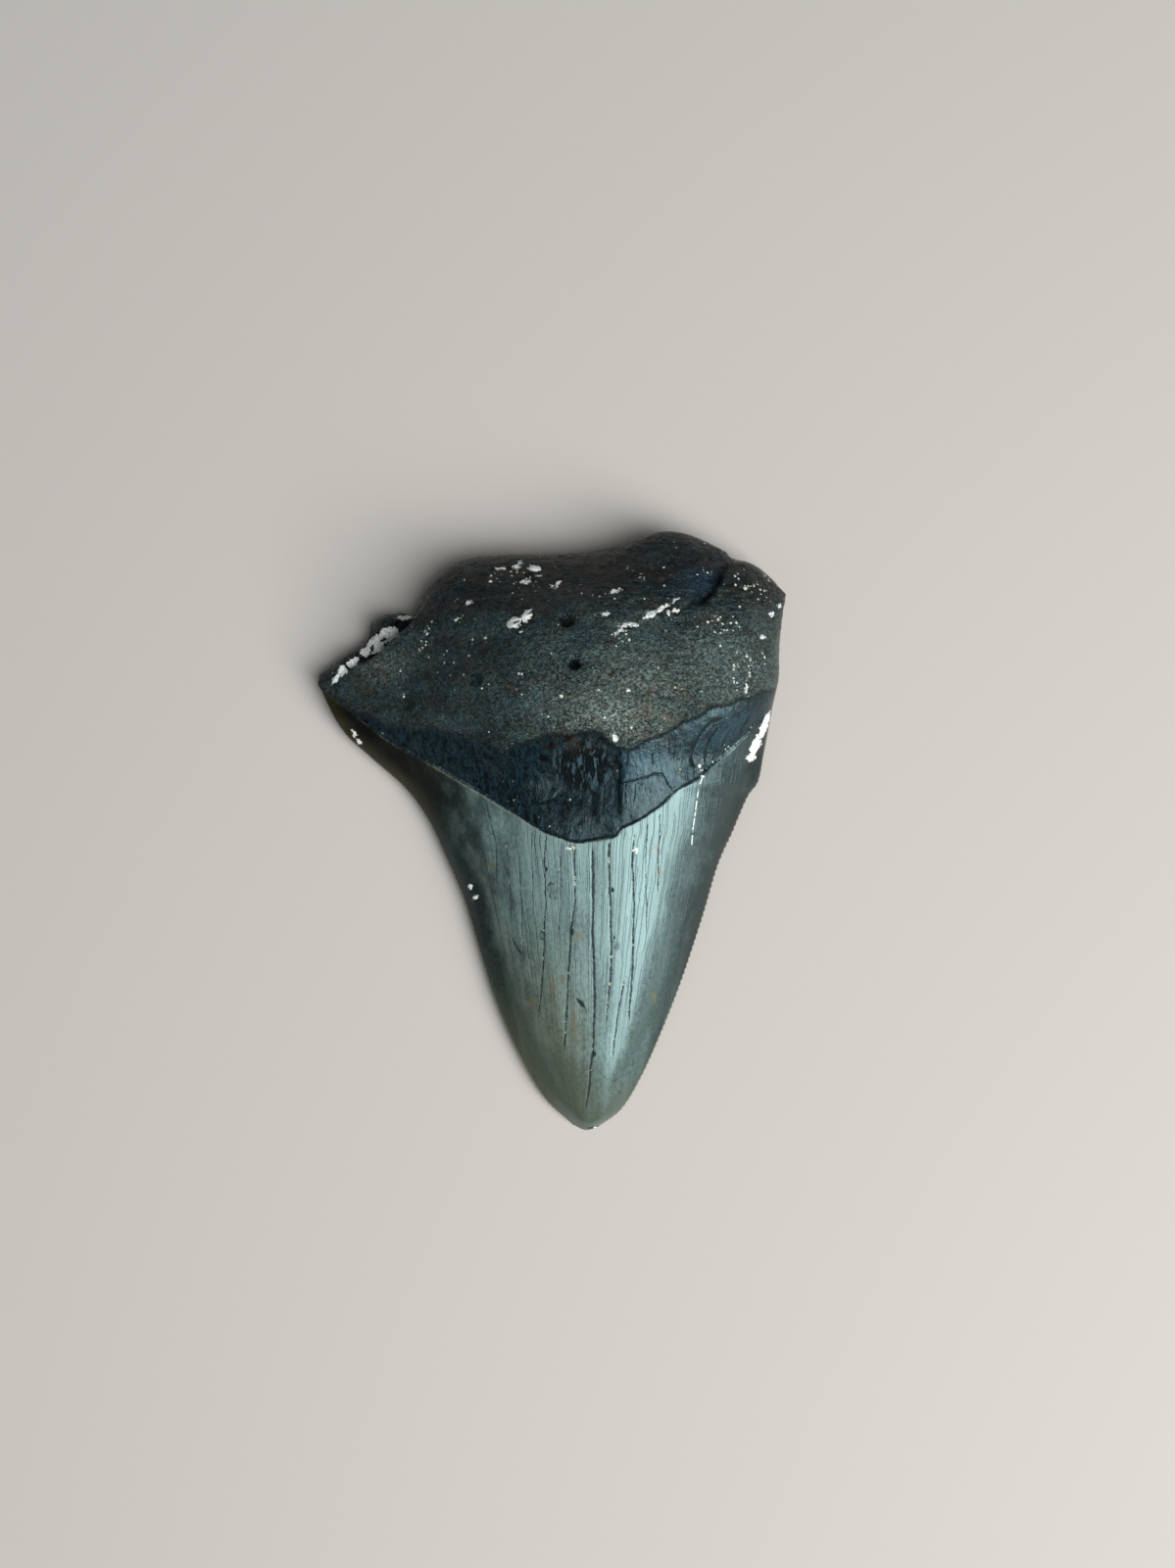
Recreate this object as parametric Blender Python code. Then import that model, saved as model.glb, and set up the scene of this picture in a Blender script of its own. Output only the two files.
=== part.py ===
"""A fossil megalodon tooth that lies on its labial face, modelled as the one solid that it grew as.

Frame: metres, +Z up. The origin is at the bottom centre of the tooth's box, -Y points to the tip of the
crown and +Y to the root. The lingual face, with the bourlette and the swell of the root, is on top.

The surface is a loft between unlike sections. Four rim curves (left edge, right edge, tip and root top)
carry a patch, with u from left to right and v from tip to root. The lingual sheet swells up from that
patch, the labial sheet sinks to the table, and both meet along the rim, which is serrated on the crown.
"""

import math

import bmesh
import bpy
import numpy as np
from mathutils import Matrix

MM = 0.001

# Rim curves, in millimetres: points (x, y, height of the rim above the table).
LEFT_EDGE = [
    (2.9, -38.8, 1.6), (-1.0, -35.0, 1.8), (-4.5, -28.9, 2.0), (-7.4, -22.0, 2.1), (-9.5, -15.2, 2.2),
    (-11.4, -8.9, 2.3), (-13.8, -3.3, 2.4), (-16.2, 1.8, 2.6), (-19.3, 6.1, 2.8), (-24.0, 10.3, 3.0),
    (-27.6, 13.8, 3.2), (-30.7, 19.8, 3.6),
]
RIGHT_EDGE = [
    (6.2, -39.2, 1.6), (9.5, -36.6, 1.8), (12.4, -31.7, 2.0), (15.3, -25.0, 2.1), (17.6, -18.9, 2.2),
    (20.2, -11.0, 2.3), (22.2, -4.2, 2.5), (24.2, 0.4, 2.7), (26.1, 4.9, 3.0), (27.5, 7.0, 3.3),
    (28.2, 10.6, 3.7), (29.2, 16.2, 4.6), (29.9, 20.2, 5.5), (30.0, 25.0, 6.0), (30.8, 31.5, 6.2),
]
TIP = [(2.9, -38.8, 1.6), (4.6, -39.55, 1.6), (6.2, -39.2, 1.6)]
ROOT_TOP = [
    (-30.7, 19.8, 3.6), (-30.2, 21.4, 3.6), (-27.0, 23.7, 3.6), (-25.1, 24.9, 3.6), (-24.0, 26.5, 3.5),
    (-23.6, 28.4, 3.4), (-22.2, 29.4, 3.5), (-20.0, 29.6, 3.8), (-18.2, 29.2, 4.6), (-17.0, 30.2, 5.6),
    (-16.4, 31.6, 6.4), (-14.5, 33.9, 6.9), (-11.5, 35.8, 7.0), (-6.7, 36.6, 7.0), (0.0, 36.7, 7.0),
    (5.2, 37.1, 7.0), (9.9, 38.1, 7.0), (13.5, 39.4, 7.0), (16.7, 39.5, 7.0), (20.1, 38.3, 7.0),
    (22.8, 37.6, 6.9), (23.7, 36.2, 6.7), (26.3, 35.3, 6.6), (28.9, 33.4, 6.4), (30.8, 31.5, 6.2),
]
LEFT_LOBE_END = (-34.0, 42.0, 4.0)
RIGHT_LOBE_END = (31.5, 42.0, 6.2)
TOOTH_LENGTH = 76.0
TIP_ROUNDING = 2.6

# Lingual face: height of its crest above the table against y, and the swell of the root on it.
CREST = [
    (-39.6, 2.6), (-37.0, 4.2), (-31.0, 6.0), (-22.0, 8.0), (-12.0, 9.8), (-2.0, 11.4), (6.0, 12.6),
    (13.0, 13.3), (24.0, 13.4), (40.0, 12.6),
]
SWELL_HEIGHT = 5.6
SWELL_CENTRE = (3.4, 21.6)
SWELL_WIDTH = (13.5, 9.0)
TOP_ROUNDING = 9.0
BREAK_ROUNDING = 2.5
TOP_ROUNDING_X = (-18.0, -6.0)
RELIEF_FADE = 0.5

# How the lingual face falls to its edges: by a power of the place across, lower on the left, most of
# all on the left lobe, and higher on the right of the root, which is a broken wall. The tip falls off
# a little more.
SIDE_POWER = 3.0
LEFT_POWER_LESS = 1.4
LEFT_CROWN_SHARE = 0.6
LOBE_Y = (-6.0, 6.0)
LEFT_SIDE = (0.1, -0.5)
WALL_POWER_MORE = 4.5
WALL_FALL_LESS = 0.5
WALL_Y = (9.0, 20.0)
WALL_SIDE = (-0.2, 0.4)
TIP_FALL_MORE = 0.35
TIP_FALL_Y = (0.0, -36.0)

# Labial face: the crown is a low arch above the table, and the root is flat.
ARCH = [
    (-39.6, 1.1), (-35.0, 0.25), (-30.0, 0.0), (-22.0, 0.35), (-8.0, 1.0), (2.0, 0.9), (9.0, 0.35),
    (14.0, 0.0), (20.0, 0.0), (40.0, 0.0),
]
LABIAL_CHANGE_Y = (3.0, 19.0)
LABIAL_POWER = 3.2
LABIAL_ROUNDING = 5.0
ROOT_HALF_WIDTH = 30.0
WALL_ROUNDING = 3.5

# Fracture face along the left lobe: the lingual face ends at this edge, and a ledge lies outside it.
BREAK_EDGE = [(-31.0, 19.2), (-26.7, 20.8), (-22.1, 23.5), (-18.2, 26.9), (-16.2, 29.6), (-14.0, 33.5)]
BREAK_WIDTH = 1.7
BREAK_END_X = (-18.0, -15.5)
LEDGE_HEIGHT = 1.9
LEDGE_ROUNDING = 1.2
KNOB = (-21.6, 27.6, 1.5, 1.6)

# Relief of the root and the bourlette.
ROOT_MARGIN = [
    (-31.0, 19.6), (-25.8, 16.9), (-20.4, 15.0), (-14.8, 14.0), (-9.2, 13.0), (-4.7, 11.3), (1.5, 13.2),
    (6.9, 12.4), (10.3, 11.2), (15.2, 12.9), (18.3, 15.2), (22.6, 16.9), (31.0, 19.2),
]
ROOT_MARGIN_STEP = 0.6
ENAMEL_MARGIN = [
    (-31.0, 19.8), (-27.3, 17.2), (-22.5, 13.4), (-16.6, 9.8), (-11.4, 6.9), (-6.2, 3.9), (-2.7, 1.6),
    (1.0, -0.3), (4.5, -0.8), (8.2, 0.2), (11.6, 1.9), (15.5, 5.1), (19.4, 7.6), (24.0, 11.5),
    (29.2, 16.4),
]
ENAMEL_STEP = 0.3
MARGIN_SLOPE = 1.4
CAVITY = (2.4, 7.6, 6.4, 4.0)
CAVITY_DEPTH = 1.6
TERRACE = [(-31.0, 28.6), (-16.0, 29.2), (-6.0, 29.8), (2.0, 31.0), (12.0, 32.4), (20.0, 34.6), (31.0, 37.0)]
TERRACE_DROP = 0.55
CLEFT = [(23.6, 37.0), (23.2, 33.3), (21.6, 31.2), (19.9, 29.0), (17.0, 27.4)]
CLEFT_DEPTH = 1.3
CLEFT_WIDTH = 1.3
FORAMINA = [(3.3, 21.4, 0.75), (2.3, 27.0, 0.8)]
FORAMEN_DEPTH = 2.2
FORAMEN_SIDES = 10
FORAMEN_FLOOR_SHARE = 0.6

# Saw edge of the crown: a serration is two of the saw points, which run from the tip to the end of a side
# edge. The teeth stop at these shares of the left and the right edge.
SAW_POINTS = 180
SERRATION_DEPTH = 0.24
SERRATED_FROM = 0.03
SERRATED_TO = (0.97, 0.80)

# Steps of the loft: rows of the crown and the root are so many saw points apart.
CROWN_ROWS_END = 90
CROWN_ROW_STEP = 5
ROOT_ROW_STEP = 3
ACROSS = 40
EDGE_CROWDING = 0.25
CURVE_STEPS = 24
TOP_CURVE_POINTS = 120
EDGE_CURVE_POINTS = 400
PROFILE_POINTS = 200

SKIN_COLOUR = (0.10, 0.13, 0.14, 1.0)
SKIN_ROUGHNESS = 0.45


def smooth_curve(points, shares):
    """Catmull-Rom curve through the points, read at shares (0 to 1) of its length."""
    knots = np.array(points, float)
    ends = np.vstack([2 * knots[0] - knots[1], knots, 2 * knots[-1] - knots[-2]])
    t = np.linspace(0, 1, CURVE_STEPS, endpoint=False)[:, None]
    pieces = []
    for a, b, c, d in zip(ends[:-3], ends[1:-2], ends[2:-1], ends[3:]):
        square = (2 * a - 5 * b + 4 * c - d) * t**2
        cube = (3 * b - a - 3 * c + d) * t**3
        pieces.append(0.5 * (2 * b + (c - a) * t + square + cube))
    line = np.vstack(pieces + [knots[-1:]])
    gone = np.concatenate([[0], np.cumsum(np.linalg.norm(np.diff(line, axis=0), axis=1))])
    at = np.asarray(shares, float) * gone[-1]
    return np.stack([np.interp(at, gone, line[:, k]) for k in range(line.shape[1])], axis=-1)


def read_profile(points, at):
    """Smooth one-valued profile through (position, value) points, read at the given positions."""
    line = smooth_curve(points, np.linspace(0, 1, PROFILE_POINTS))
    return np.interp(at, line[:, 0], line[:, 1])


def smooth_step(value, low, high):
    """0 at low, 1 at high, an S-curve between them and level outside."""
    t = np.clip((value - low) / (high - low), 0, 1)
    return t * t * (3 - 2 * t)


def rounded(distance, radius):
    """Quarter ellipse: 0 at the rim and exactly 1 from radius inwards."""
    return np.sqrt(1 - (1 - np.clip(distance / radius, 0, 1)) ** 2)


def mound(x, y, centre, widths):
    """Gaussian mound of height 1."""
    return np.exp(-(((x - centre[0]) / widths[0]) ** 2) - ((y - centre[1]) / widths[1]) ** 2)


def distance_to_path(x, y, path):
    """Distance in plan to the nearest point of a chain of straight stretches."""
    nearest = np.full(x.shape, np.inf)
    for (x0, y0), (x1, y1) in zip(path[:-1], path[1:]):
        run = (x1 - x0, y1 - y0)
        t = np.clip(((x - x0) * run[0] + (y - y0) * run[1]) / (run[0] ** 2 + run[1] ** 2), 0, 1)
        nearest = np.minimum(nearest, np.hypot(x - x0 - t * run[0], y - y0 - t * run[1]))
    return nearest


def rim_patch(u, v):
    """Coons patch over the four rim curves: points (x, y, z) in millimetres."""
    left, right = smooth_curve(LEFT_EDGE, v), smooth_curve(RIGHT_EDGE, v)
    tip, top = smooth_curve(TIP, u), smooth_curve(ROOT_TOP, u)
    u, v = u[..., None], v[..., None]
    low = (1 - u) * np.array(TIP[0]) + u * np.array(TIP[-1])
    high = (1 - u) * np.array(ROOT_TOP[0]) + u * np.array(ROOT_TOP[-1])
    return (1 - u) * left + u * right + (1 - v) * (tip - low) + v * (top - high)


def from_root_top(x, y):
    """Distance of points from the top edge of the root."""
    return distance_to_path(x, y, smooth_curve(ROOT_TOP, np.linspace(0, 1, TOP_CURVE_POINTS))[:, :2])


def place_across(x, y):
    """Place between the side edges (-1 left, 1 right) and the height of the straight line between them.

    Above the shoulders the edges go on to where the whole root's sides would be.
    """
    left = smooth_curve(LEFT_EDGE + [LEFT_LOBE_END], np.linspace(0, 1, EDGE_CURVE_POINTS))
    right = smooth_curve(RIGHT_EDGE + [RIGHT_LOBE_END], np.linspace(0, 1, EDGE_CURVE_POINTS))
    left_x, right_x = np.interp(y, left[:, 1], left[:, 0]), np.interp(y, right[:, 1], right[:, 0])
    side = np.clip(2 * (x - left_x) / (right_x - left_x) - 1, -1, 1)
    low = np.interp(y, left[:, 1], left[:, 2])
    return side, low + (np.interp(y, right[:, 1], right[:, 2]) - low) * (side + 1) / 2


def side_share(side, y):
    """Share of the full height across the tooth: 1 in the middle and 0 at both edges.

    The crown and the whole left side thin out to a cutting edge. The right side of the root
    is a broken wall, so there the share stays high and drops at the rim.
    """
    wall = smooth_step(y, *WALL_Y) * smooth_step(side, *WALL_SIDE)
    left = LEFT_CROWN_SHARE + (1 - LEFT_CROWN_SHARE) * smooth_step(y, *LOBE_Y)
    left = left * smooth_step(side, *LEFT_SIDE)
    power = SIDE_POWER + WALL_POWER_MORE * wall - LEFT_POWER_LESS * left
    fall = 1.0 + TIP_FALL_MORE * smooth_step(y, *TIP_FALL_Y) - WALL_FALL_LESS * wall
    return np.clip(1 - np.abs(side) ** power, 0, 1) ** fall


def relief(x, y):
    """Ledges, hollow and cleft of the root and the bourlette, as a height added to the lingual face."""
    step = ROOT_MARGIN_STEP * smooth_step(y - read_profile(ROOT_MARGIN, x), 0, MARGIN_SLOPE)
    step = step + ENAMEL_STEP * smooth_step(read_profile(ENAMEL_MARGIN, x) - y, 0, MARGIN_SLOPE)
    step = step - TERRACE_DROP * smooth_step(y - read_profile(TERRACE, x), 0, MARGIN_SLOPE)
    hollow = CAVITY_DEPTH * mound(x, y, CAVITY[:2], CAVITY[2:])
    cleft = CLEFT_DEPTH * np.exp(-((distance_to_path(x, y, CLEFT) / CLEFT_WIDTH) ** 2))
    return step - hollow - cleft


def lingual_sheet(u, v):
    """Points of the lingual face: the crest, the swell and the relief, rounded down to the rim."""
    x, y, rim = np.moveaxis(rim_patch(u, v), -1, 0)
    side, low = place_across(x, y)
    share = side_share(side, y)
    swell = SWELL_HEIGHT * mound(x, y, SWELL_CENTRE, SWELL_WIDTH) + relief(x, y)
    face = low + (read_profile(CREST, y) - low) * share + swell * rounded(share, RELIEF_FADE)
    from_top = from_root_top(x, y)
    radius = BREAK_ROUNDING + (TOP_ROUNDING - BREAK_ROUNDING) * smooth_step(x, *TOP_ROUNDING_X)
    whole = rim + (face - rim) * rounded(from_top, radius)
    ledge = rim + LEDGE_HEIGHT + KNOB[2] * mound(x, y, KNOB[:2], (KNOB[3], KNOB[3]))
    inside = 1 - np.clip((y - read_profile(BREAK_EDGE, x)) / BREAK_WIDTH, 0, 1)
    facet = np.where(face > ledge, ledge + (face - ledge) * inside, face)
    facet = rim + (facet - rim) * rounded(from_top, LEDGE_ROUNDING)
    height = facet + (whole - facet) * smooth_step(x, *BREAK_END_X)
    return np.stack([x, y, rim + (height - rim) * rounded(v * TOOTH_LENGTH, TIP_ROUNDING)], axis=-1)


def labial_sheet(u, v):
    """Points of the labial face, which sinks from the rim to the table."""
    x, y, rim = np.moveaxis(rim_patch(u, v), -1, 0)
    side, low = place_across(x, y)
    table = read_profile(ARCH, y)
    crown = 1 - np.abs(side) ** LABIAL_POWER
    root = rounded((1 + side) * ROOT_HALF_WIDTH, LABIAL_ROUNDING)
    root = root * rounded((1 - side) * ROOT_HALF_WIDTH, WALL_ROUNDING)
    face = low + (table - low) * (crown + (root - crown) * smooth_step(y, *LABIAL_CHANGE_Y))
    share = rounded(from_root_top(x, y), LABIAL_ROUNDING) * rounded(v * TOOTH_LENGTH, TIP_ROUNDING)
    return np.stack([x, y, rim + (face - rim) * share], axis=-1)


def saw_edge(edge, outward, serrated_to):
    """Points of one side edge, with a serration out and a gap in along its serrated share."""
    shares = np.linspace(0, 1, SAW_POINTS + 1)
    points = smooth_curve(edge, shares)
    along = np.gradient(points[:, :2], axis=0)
    normal = np.stack([along[:, 1], -along[:, 0]], axis=-1)
    normal *= outward / np.linalg.norm(normal, axis=1)[:, None]
    saw = SERRATION_DEPTH * (0.5 - np.arange(SAW_POINTS + 1) % 2)
    saw[(shares < SERRATED_FROM) | (shares > serrated_to)] = 0
    points[:, :2] += normal * saw[:, None]
    return points


def build_tooth(collection):
    """The closed loft: both sheets share the rim, and the cells next to a saw edge take in its points."""
    rows = [*range(0, CROWN_ROWS_END, CROWN_ROW_STEP), *range(CROWN_ROWS_END, SAW_POINTS + 1, ROOT_ROW_STEP)]
    steps_u = np.linspace(0, 1, ACROSS + 1)
    steps_u = steps_u - EDGE_CROWDING * np.sin(2 * math.pi * steps_u) / (2 * math.pi)
    u, v = np.meshgrid(steps_u, np.array(rows) / SAW_POINTS)
    lingual, labial = lingual_sheet(u, v), labial_sheet(u, v)
    edges = saw_edge(LEFT_EDGE, -1, SERRATED_TO[0]), saw_edge(RIGHT_EDGE, 1, SERRATED_TO[1])
    lingual[1:-1, 0], lingual[1:-1, -1] = edges[0][rows[1:-1]], edges[1][rows[1:-1]]
    labial[1:-1, [0, -1]] = lingual[1:-1, [0, -1]]
    points = [*lingual.reshape(-1, 3)]
    top = np.arange(u.size).reshape(u.shape)
    under = top.copy()
    under[1:-1, 1:-1] = len(points) + np.arange((u.shape[0] - 2) * (ACROSS - 1)).reshape(-1, ACROSS - 1)
    points.extend(labial[1:-1, 1:-1].reshape(-1, 3))
    between = {}
    for side, edge, serrated_to in ((0, edges[0], SERRATED_TO[0]), (1, edges[1], SERRATED_TO[1])):
        for row, (first, last) in enumerate(zip(rows[:-1], rows[1:])):
            inner = edge[first + 1 : last] if first < serrated_to * SAW_POINTS else edge[:0]
            between[side, row] = list(range(len(points), len(points) + len(inner)))
            points.extend(inner)
    faces = []
    for row in range(len(rows) - 1):
        for column in range(ACROSS):
            left = between[0, row][::-1] if column == 0 else []
            right = between[1, row] if column == ACROSS - 1 else []
            for sheet, turn in ((top, 1), (under, -1)):
                a, b = sheet[row, column : column + 2].tolist()
                d, c = sheet[row + 1, column : column + 2].tolist()
                faces.append([a, b, *right, c, d, *left][::turn])
    mesh = bpy.data.meshes.new("megalodon_tooth")
    mesh.from_pydata(np.array(points) * MM, [], faces)
    mesh.shade_smooth()
    tooth = bpy.data.objects.new("megalodon_tooth", mesh)
    collection.objects.link(tooth)
    return tooth, lingual.reshape(-1, 3)


def cut_foramina(tooth, lingual, cutters):
    """Narrow cones sunk into the swell of the root, wider at the mouth, as one cutter."""
    shape = bmesh.new()
    for x, y, radius in FORAMINA:
        nearest = np.argmin(np.hypot(lingual[:, 0] - x, lingual[:, 1] - y))
        bmesh.ops.create_cone(
            shape, cap_ends=True, segments=FORAMEN_SIDES, radius1=FORAMEN_FLOOR_SHARE * radius * MM,
            radius2=(2 - FORAMEN_FLOOR_SHARE) * radius * MM, depth=2 * FORAMEN_DEPTH * MM,
            matrix=Matrix.Translation((x * MM, y * MM, lingual[nearest, 2] * MM)),
        )
    mesh = bpy.data.meshes.new("foramen_cutter")
    shape.to_mesh(mesh)
    shape.free()
    cutter = bpy.data.objects.new("foramen_cutter", mesh)
    cutter.hide_render = True
    cutter.display_type = "WIRE"
    cutters.objects.link(cutter)
    cut = tooth.modifiers.new("foramina", "BOOLEAN")
    cut.operation = "DIFFERENCE"
    cut.object = cutter


def fossil_material():
    """Dark mineralised dentine and enamel."""
    material = bpy.data.materials.new("fossil_tooth")
    material.use_nodes = True
    shader = material.node_tree.nodes["Principled BSDF"]
    shader.inputs["Base Color"].default_value = SKIN_COLOUR
    shader.inputs["Roughness"].default_value = SKIN_ROUGHNESS
    shader.inputs["Metallic"].default_value = 0.0
    return material


def main():
    """Model the tooth in an emptied scene."""
    for old in list(bpy.data.objects):
        bpy.data.objects.remove(old)
    parts = bpy.data.collections.new("megalodon_tooth")
    cutters = bpy.data.collections.new("cutters")
    bpy.context.scene.collection.children.link(parts)
    bpy.context.scene.collection.children.link(cutters)
    tooth, lingual = build_tooth(parts)
    tooth.data.materials.append(fossil_material())
    cut_foramina(tooth, lingual, cutters)


main()
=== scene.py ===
"""Looks of a fossil megalodon tooth that lies on its labial face.

One piece, the fine skin of the whole tooth, stands for the CAD solid. It is worked out on two sheets of a
two-parameter grid (u from left to right, v from the tip to the top of the root), welded along the rim, and
dressed with one procedural finish whose zones are carried by attributes in millimetres. Lengths are in
millimetres until a mesh is made.
"""

import functools
import logging
import math
from dataclasses import dataclass
from enum import Enum

import bpy
import numpy as np
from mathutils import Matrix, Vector


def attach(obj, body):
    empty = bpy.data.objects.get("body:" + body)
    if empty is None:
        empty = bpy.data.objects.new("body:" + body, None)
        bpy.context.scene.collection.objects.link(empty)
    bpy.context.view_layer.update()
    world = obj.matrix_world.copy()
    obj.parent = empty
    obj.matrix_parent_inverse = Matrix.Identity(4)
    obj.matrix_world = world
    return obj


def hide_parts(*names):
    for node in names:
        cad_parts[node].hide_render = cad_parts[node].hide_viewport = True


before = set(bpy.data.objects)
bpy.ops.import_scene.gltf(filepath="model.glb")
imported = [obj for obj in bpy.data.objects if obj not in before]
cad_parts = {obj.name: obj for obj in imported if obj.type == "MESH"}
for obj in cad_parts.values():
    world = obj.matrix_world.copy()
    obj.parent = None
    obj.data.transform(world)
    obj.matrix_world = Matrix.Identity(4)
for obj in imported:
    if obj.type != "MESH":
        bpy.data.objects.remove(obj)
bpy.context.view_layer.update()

MM = 0.001
LOG = logging.getLogger("tooth")
FAR = 9.0  # millimetres that stand for nothing near
Numbers = tuple[float, ...]
Points = tuple[Numbers, ...]
Array = np.ndarray
Zones = dict[str, Array]


def smooth_curve(points: Points, shares: Array) -> Array:
    """Catmull-Rom curve through the points, read at shares of its length.

    Args:
        points: the curve's points, each with any number of coordinates.
        shares: where to read it, from 0 (first point) to 1 (last point).

    Returns:
        An array of the shape of shares with the coordinates as its last axis.
    """
    knots = np.array(points, float)
    ends = np.vstack([2 * knots[0] - knots[1], knots, 2 * knots[-1] - knots[-2]])
    t = np.linspace(0, 1, 24, endpoint=False)[:, None]
    pieces = []
    for a, b, c, d in zip(ends[:-3], ends[1:-2], ends[2:-1], ends[3:]):
        square = (2 * a - 5 * b + 4 * c - d) * t**2
        cube = (3 * b - a - 3 * c + d) * t**3
        pieces.append(0.5 * (2 * b + (c - a) * t + square + cube))
    line = np.vstack(pieces + [knots[-1:]])
    gone = np.concatenate([[0], np.cumsum(np.linalg.norm(np.diff(line, axis=0), axis=1))])
    at = np.asarray(shares, float) * gone[-1]
    return np.stack([np.interp(at, gone, line[:, k]) for k in range(line.shape[1])], axis=-1)


def read_profile(points: Points, at: Array) -> Array:
    """Smooth one-valued profile through (position, value) points, level beyond the first and the last."""
    line = smooth_curve(points, np.linspace(0, 1, 400))
    return np.interp(at, line[:, 0], line[:, 1])


def smooth_step(value: Array, low: float, high: float) -> Array:
    """S-curve from 0 at low to 1 at high, level outside."""
    t = np.clip((value - low) / (high - low), 0, 1)
    return t * t * (3 - 2 * t)


def rounded(distance: Array, radius: Array | float) -> Array:
    """Quarter ellipse: 0 at distance 0 and exactly 1 from radius on."""
    return np.sqrt(1 - (1 - np.clip(distance / radius, 0, 1)) ** 2)


def plan(x: Array, y: Array) -> Array:
    """Points x, y and 0."""
    return np.stack([x, y, x * 0], axis=-1)


def mound(x: Array, y: Array, middle_x: float, middle_y: float, width_x: float, width_y: float) -> Array:
    """Gaussian mound of height 1."""
    return np.exp(-(((x - middle_x) / width_x) ** 2) - ((y - middle_y) / width_y) ** 2)


def lattice_noise(points: Array, seed: int) -> Array:
    """Smooth noise from -1 to 1: random numbers on whole lattice points, blended by an S-curve.

    Args:
        points: positions, with three coordinates as the last axis.
        seed: picks the random numbers.

    Returns:
        One number for each point.
    """
    cell = np.floor(points).astype(np.int64)
    part = points - cell
    part = part * part * (3 - 2 * part)
    total = np.zeros(points.shape[:-1])
    for corner in range(8):
        step = np.array([corner & 1, corner >> 1 & 1, corner >> 2 & 1])
        whole = cell + step
        key = whole[..., 0] * 374761393 + whole[..., 1] * 668265263 + whole[..., 2] * 1440662683 + seed * 97
        key = (key ^ key >> 13) * 1274126177 & 0xFFFFFFFF
        key = (key ^ key >> 15) * 2246822519 & 0xFFFFFFFF
        value = (key ^ key >> 16) / 0x7FFFFFFF - 1
        total += value * np.prod(np.where(step, part, 1 - part), axis=-1)
    return total


def layered_noise(points: Array, size: Numbers, seed: int, layers: int = 3) -> Array:
    """Sum of noises, each half the size and half the strength of the one before.

    Args:
        points: positions in millimetres.
        size: the grain of the coarsest noise along x, y and z, in millimetres.
        seed: picks the random numbers.
        layers: how many noises are added.

    Returns:
        One number for each point, mostly between -1 and 1.
    """
    total = np.zeros(points.shape[:-1])
    for layer in range(layers):
        scaled = points / np.array(size) * 2**layer + 17.3 * layer
        total += lattice_noise(scaled, seed + layer) / 2**layer
    return total / 1.5


def path_offsets(x: Array, y: Array, path: Points) -> tuple[Array, Array]:
    """Signed distance in plan from a chain of straight stretches, and the share of its length there.

    Args:
        x, y: positions across and along.
        path: points (x, y) of the chain.

    Returns:
        The distance, positive on the left of the way along the path, and the share from 0 to 1.
    """
    lengths = [math.dist(a, b) for a, b in zip(path[:-1], path[1:])]
    best, offset, share = np.full(x.shape, np.inf), np.zeros(x.shape), np.zeros(x.shape)
    gone = 0.0
    for (x0, y0), (x1, y1), length in zip(path[:-1], path[1:], lengths):
        run_x, run_y = x1 - x0, y1 - y0
        t = np.clip(((x - x0) * run_x + (y - y0) * run_y) / length**2, 0, 1)
        gap = np.hypot(x - x0 - t * run_x, y - y0 - t * run_y)
        side = np.where((y - y0) * run_x - (x - x0) * run_y < 0, -1.0, 1.0)
        nearer = gap < best
        best = np.where(nearer, gap, best)
        offset = np.where(nearer, gap * side, offset)
        share = np.where(nearer, (gone + t * length) / sum(lengths), share)
        gone += length
    return offset, share


@dataclass(frozen=True)
class Line:
    """A crack or a fissure: its path in plan, its half width and its depth."""

    path: Points
    half_width: float
    depth: float


@dataclass(frozen=True)
class Spot:
    """An oval spot: centre, half length, half width, turn in degrees and height (or depth, below 0)."""

    x: float
    y: float
    half_length: float
    half_width: float
    turn: float = 0.0
    height: float = 0.0

    def field(self, x: Array, y: Array) -> Array:
        """Roughly the distance in millimetres from the oval's edge.

        Args:
            x, y: positions across and along.

        Returns:
            The distance, below 0 inside the oval.
        """
        cosine, sine = math.cos(math.radians(self.turn)), math.sin(math.radians(self.turn))
        along = (x - self.x) * cosine + (y - self.y) * sine
        across = (y - self.y) * cosine - (x - self.x) * sine
        reach = np.hypot(along / self.half_length, across / self.half_width)
        return (reach - 1) * min(self.half_length, self.half_width)


def rows(kind: type, *numbers: tuple) -> tuple:
    """One Line or Spot from each row of its numbers."""
    return tuple(kind(*row) for row in numbers)


@dataclass(frozen=True)
class Marks:
    """Small marks on one part of the tooth: white crusts, gaps in them, dark holes and ringed chips."""

    crusts: tuple[Spot, ...]
    gaps: tuple[Spot, ...]
    holes: tuple[Spot, ...]
    rings: tuple[Spot, ...]


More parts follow.
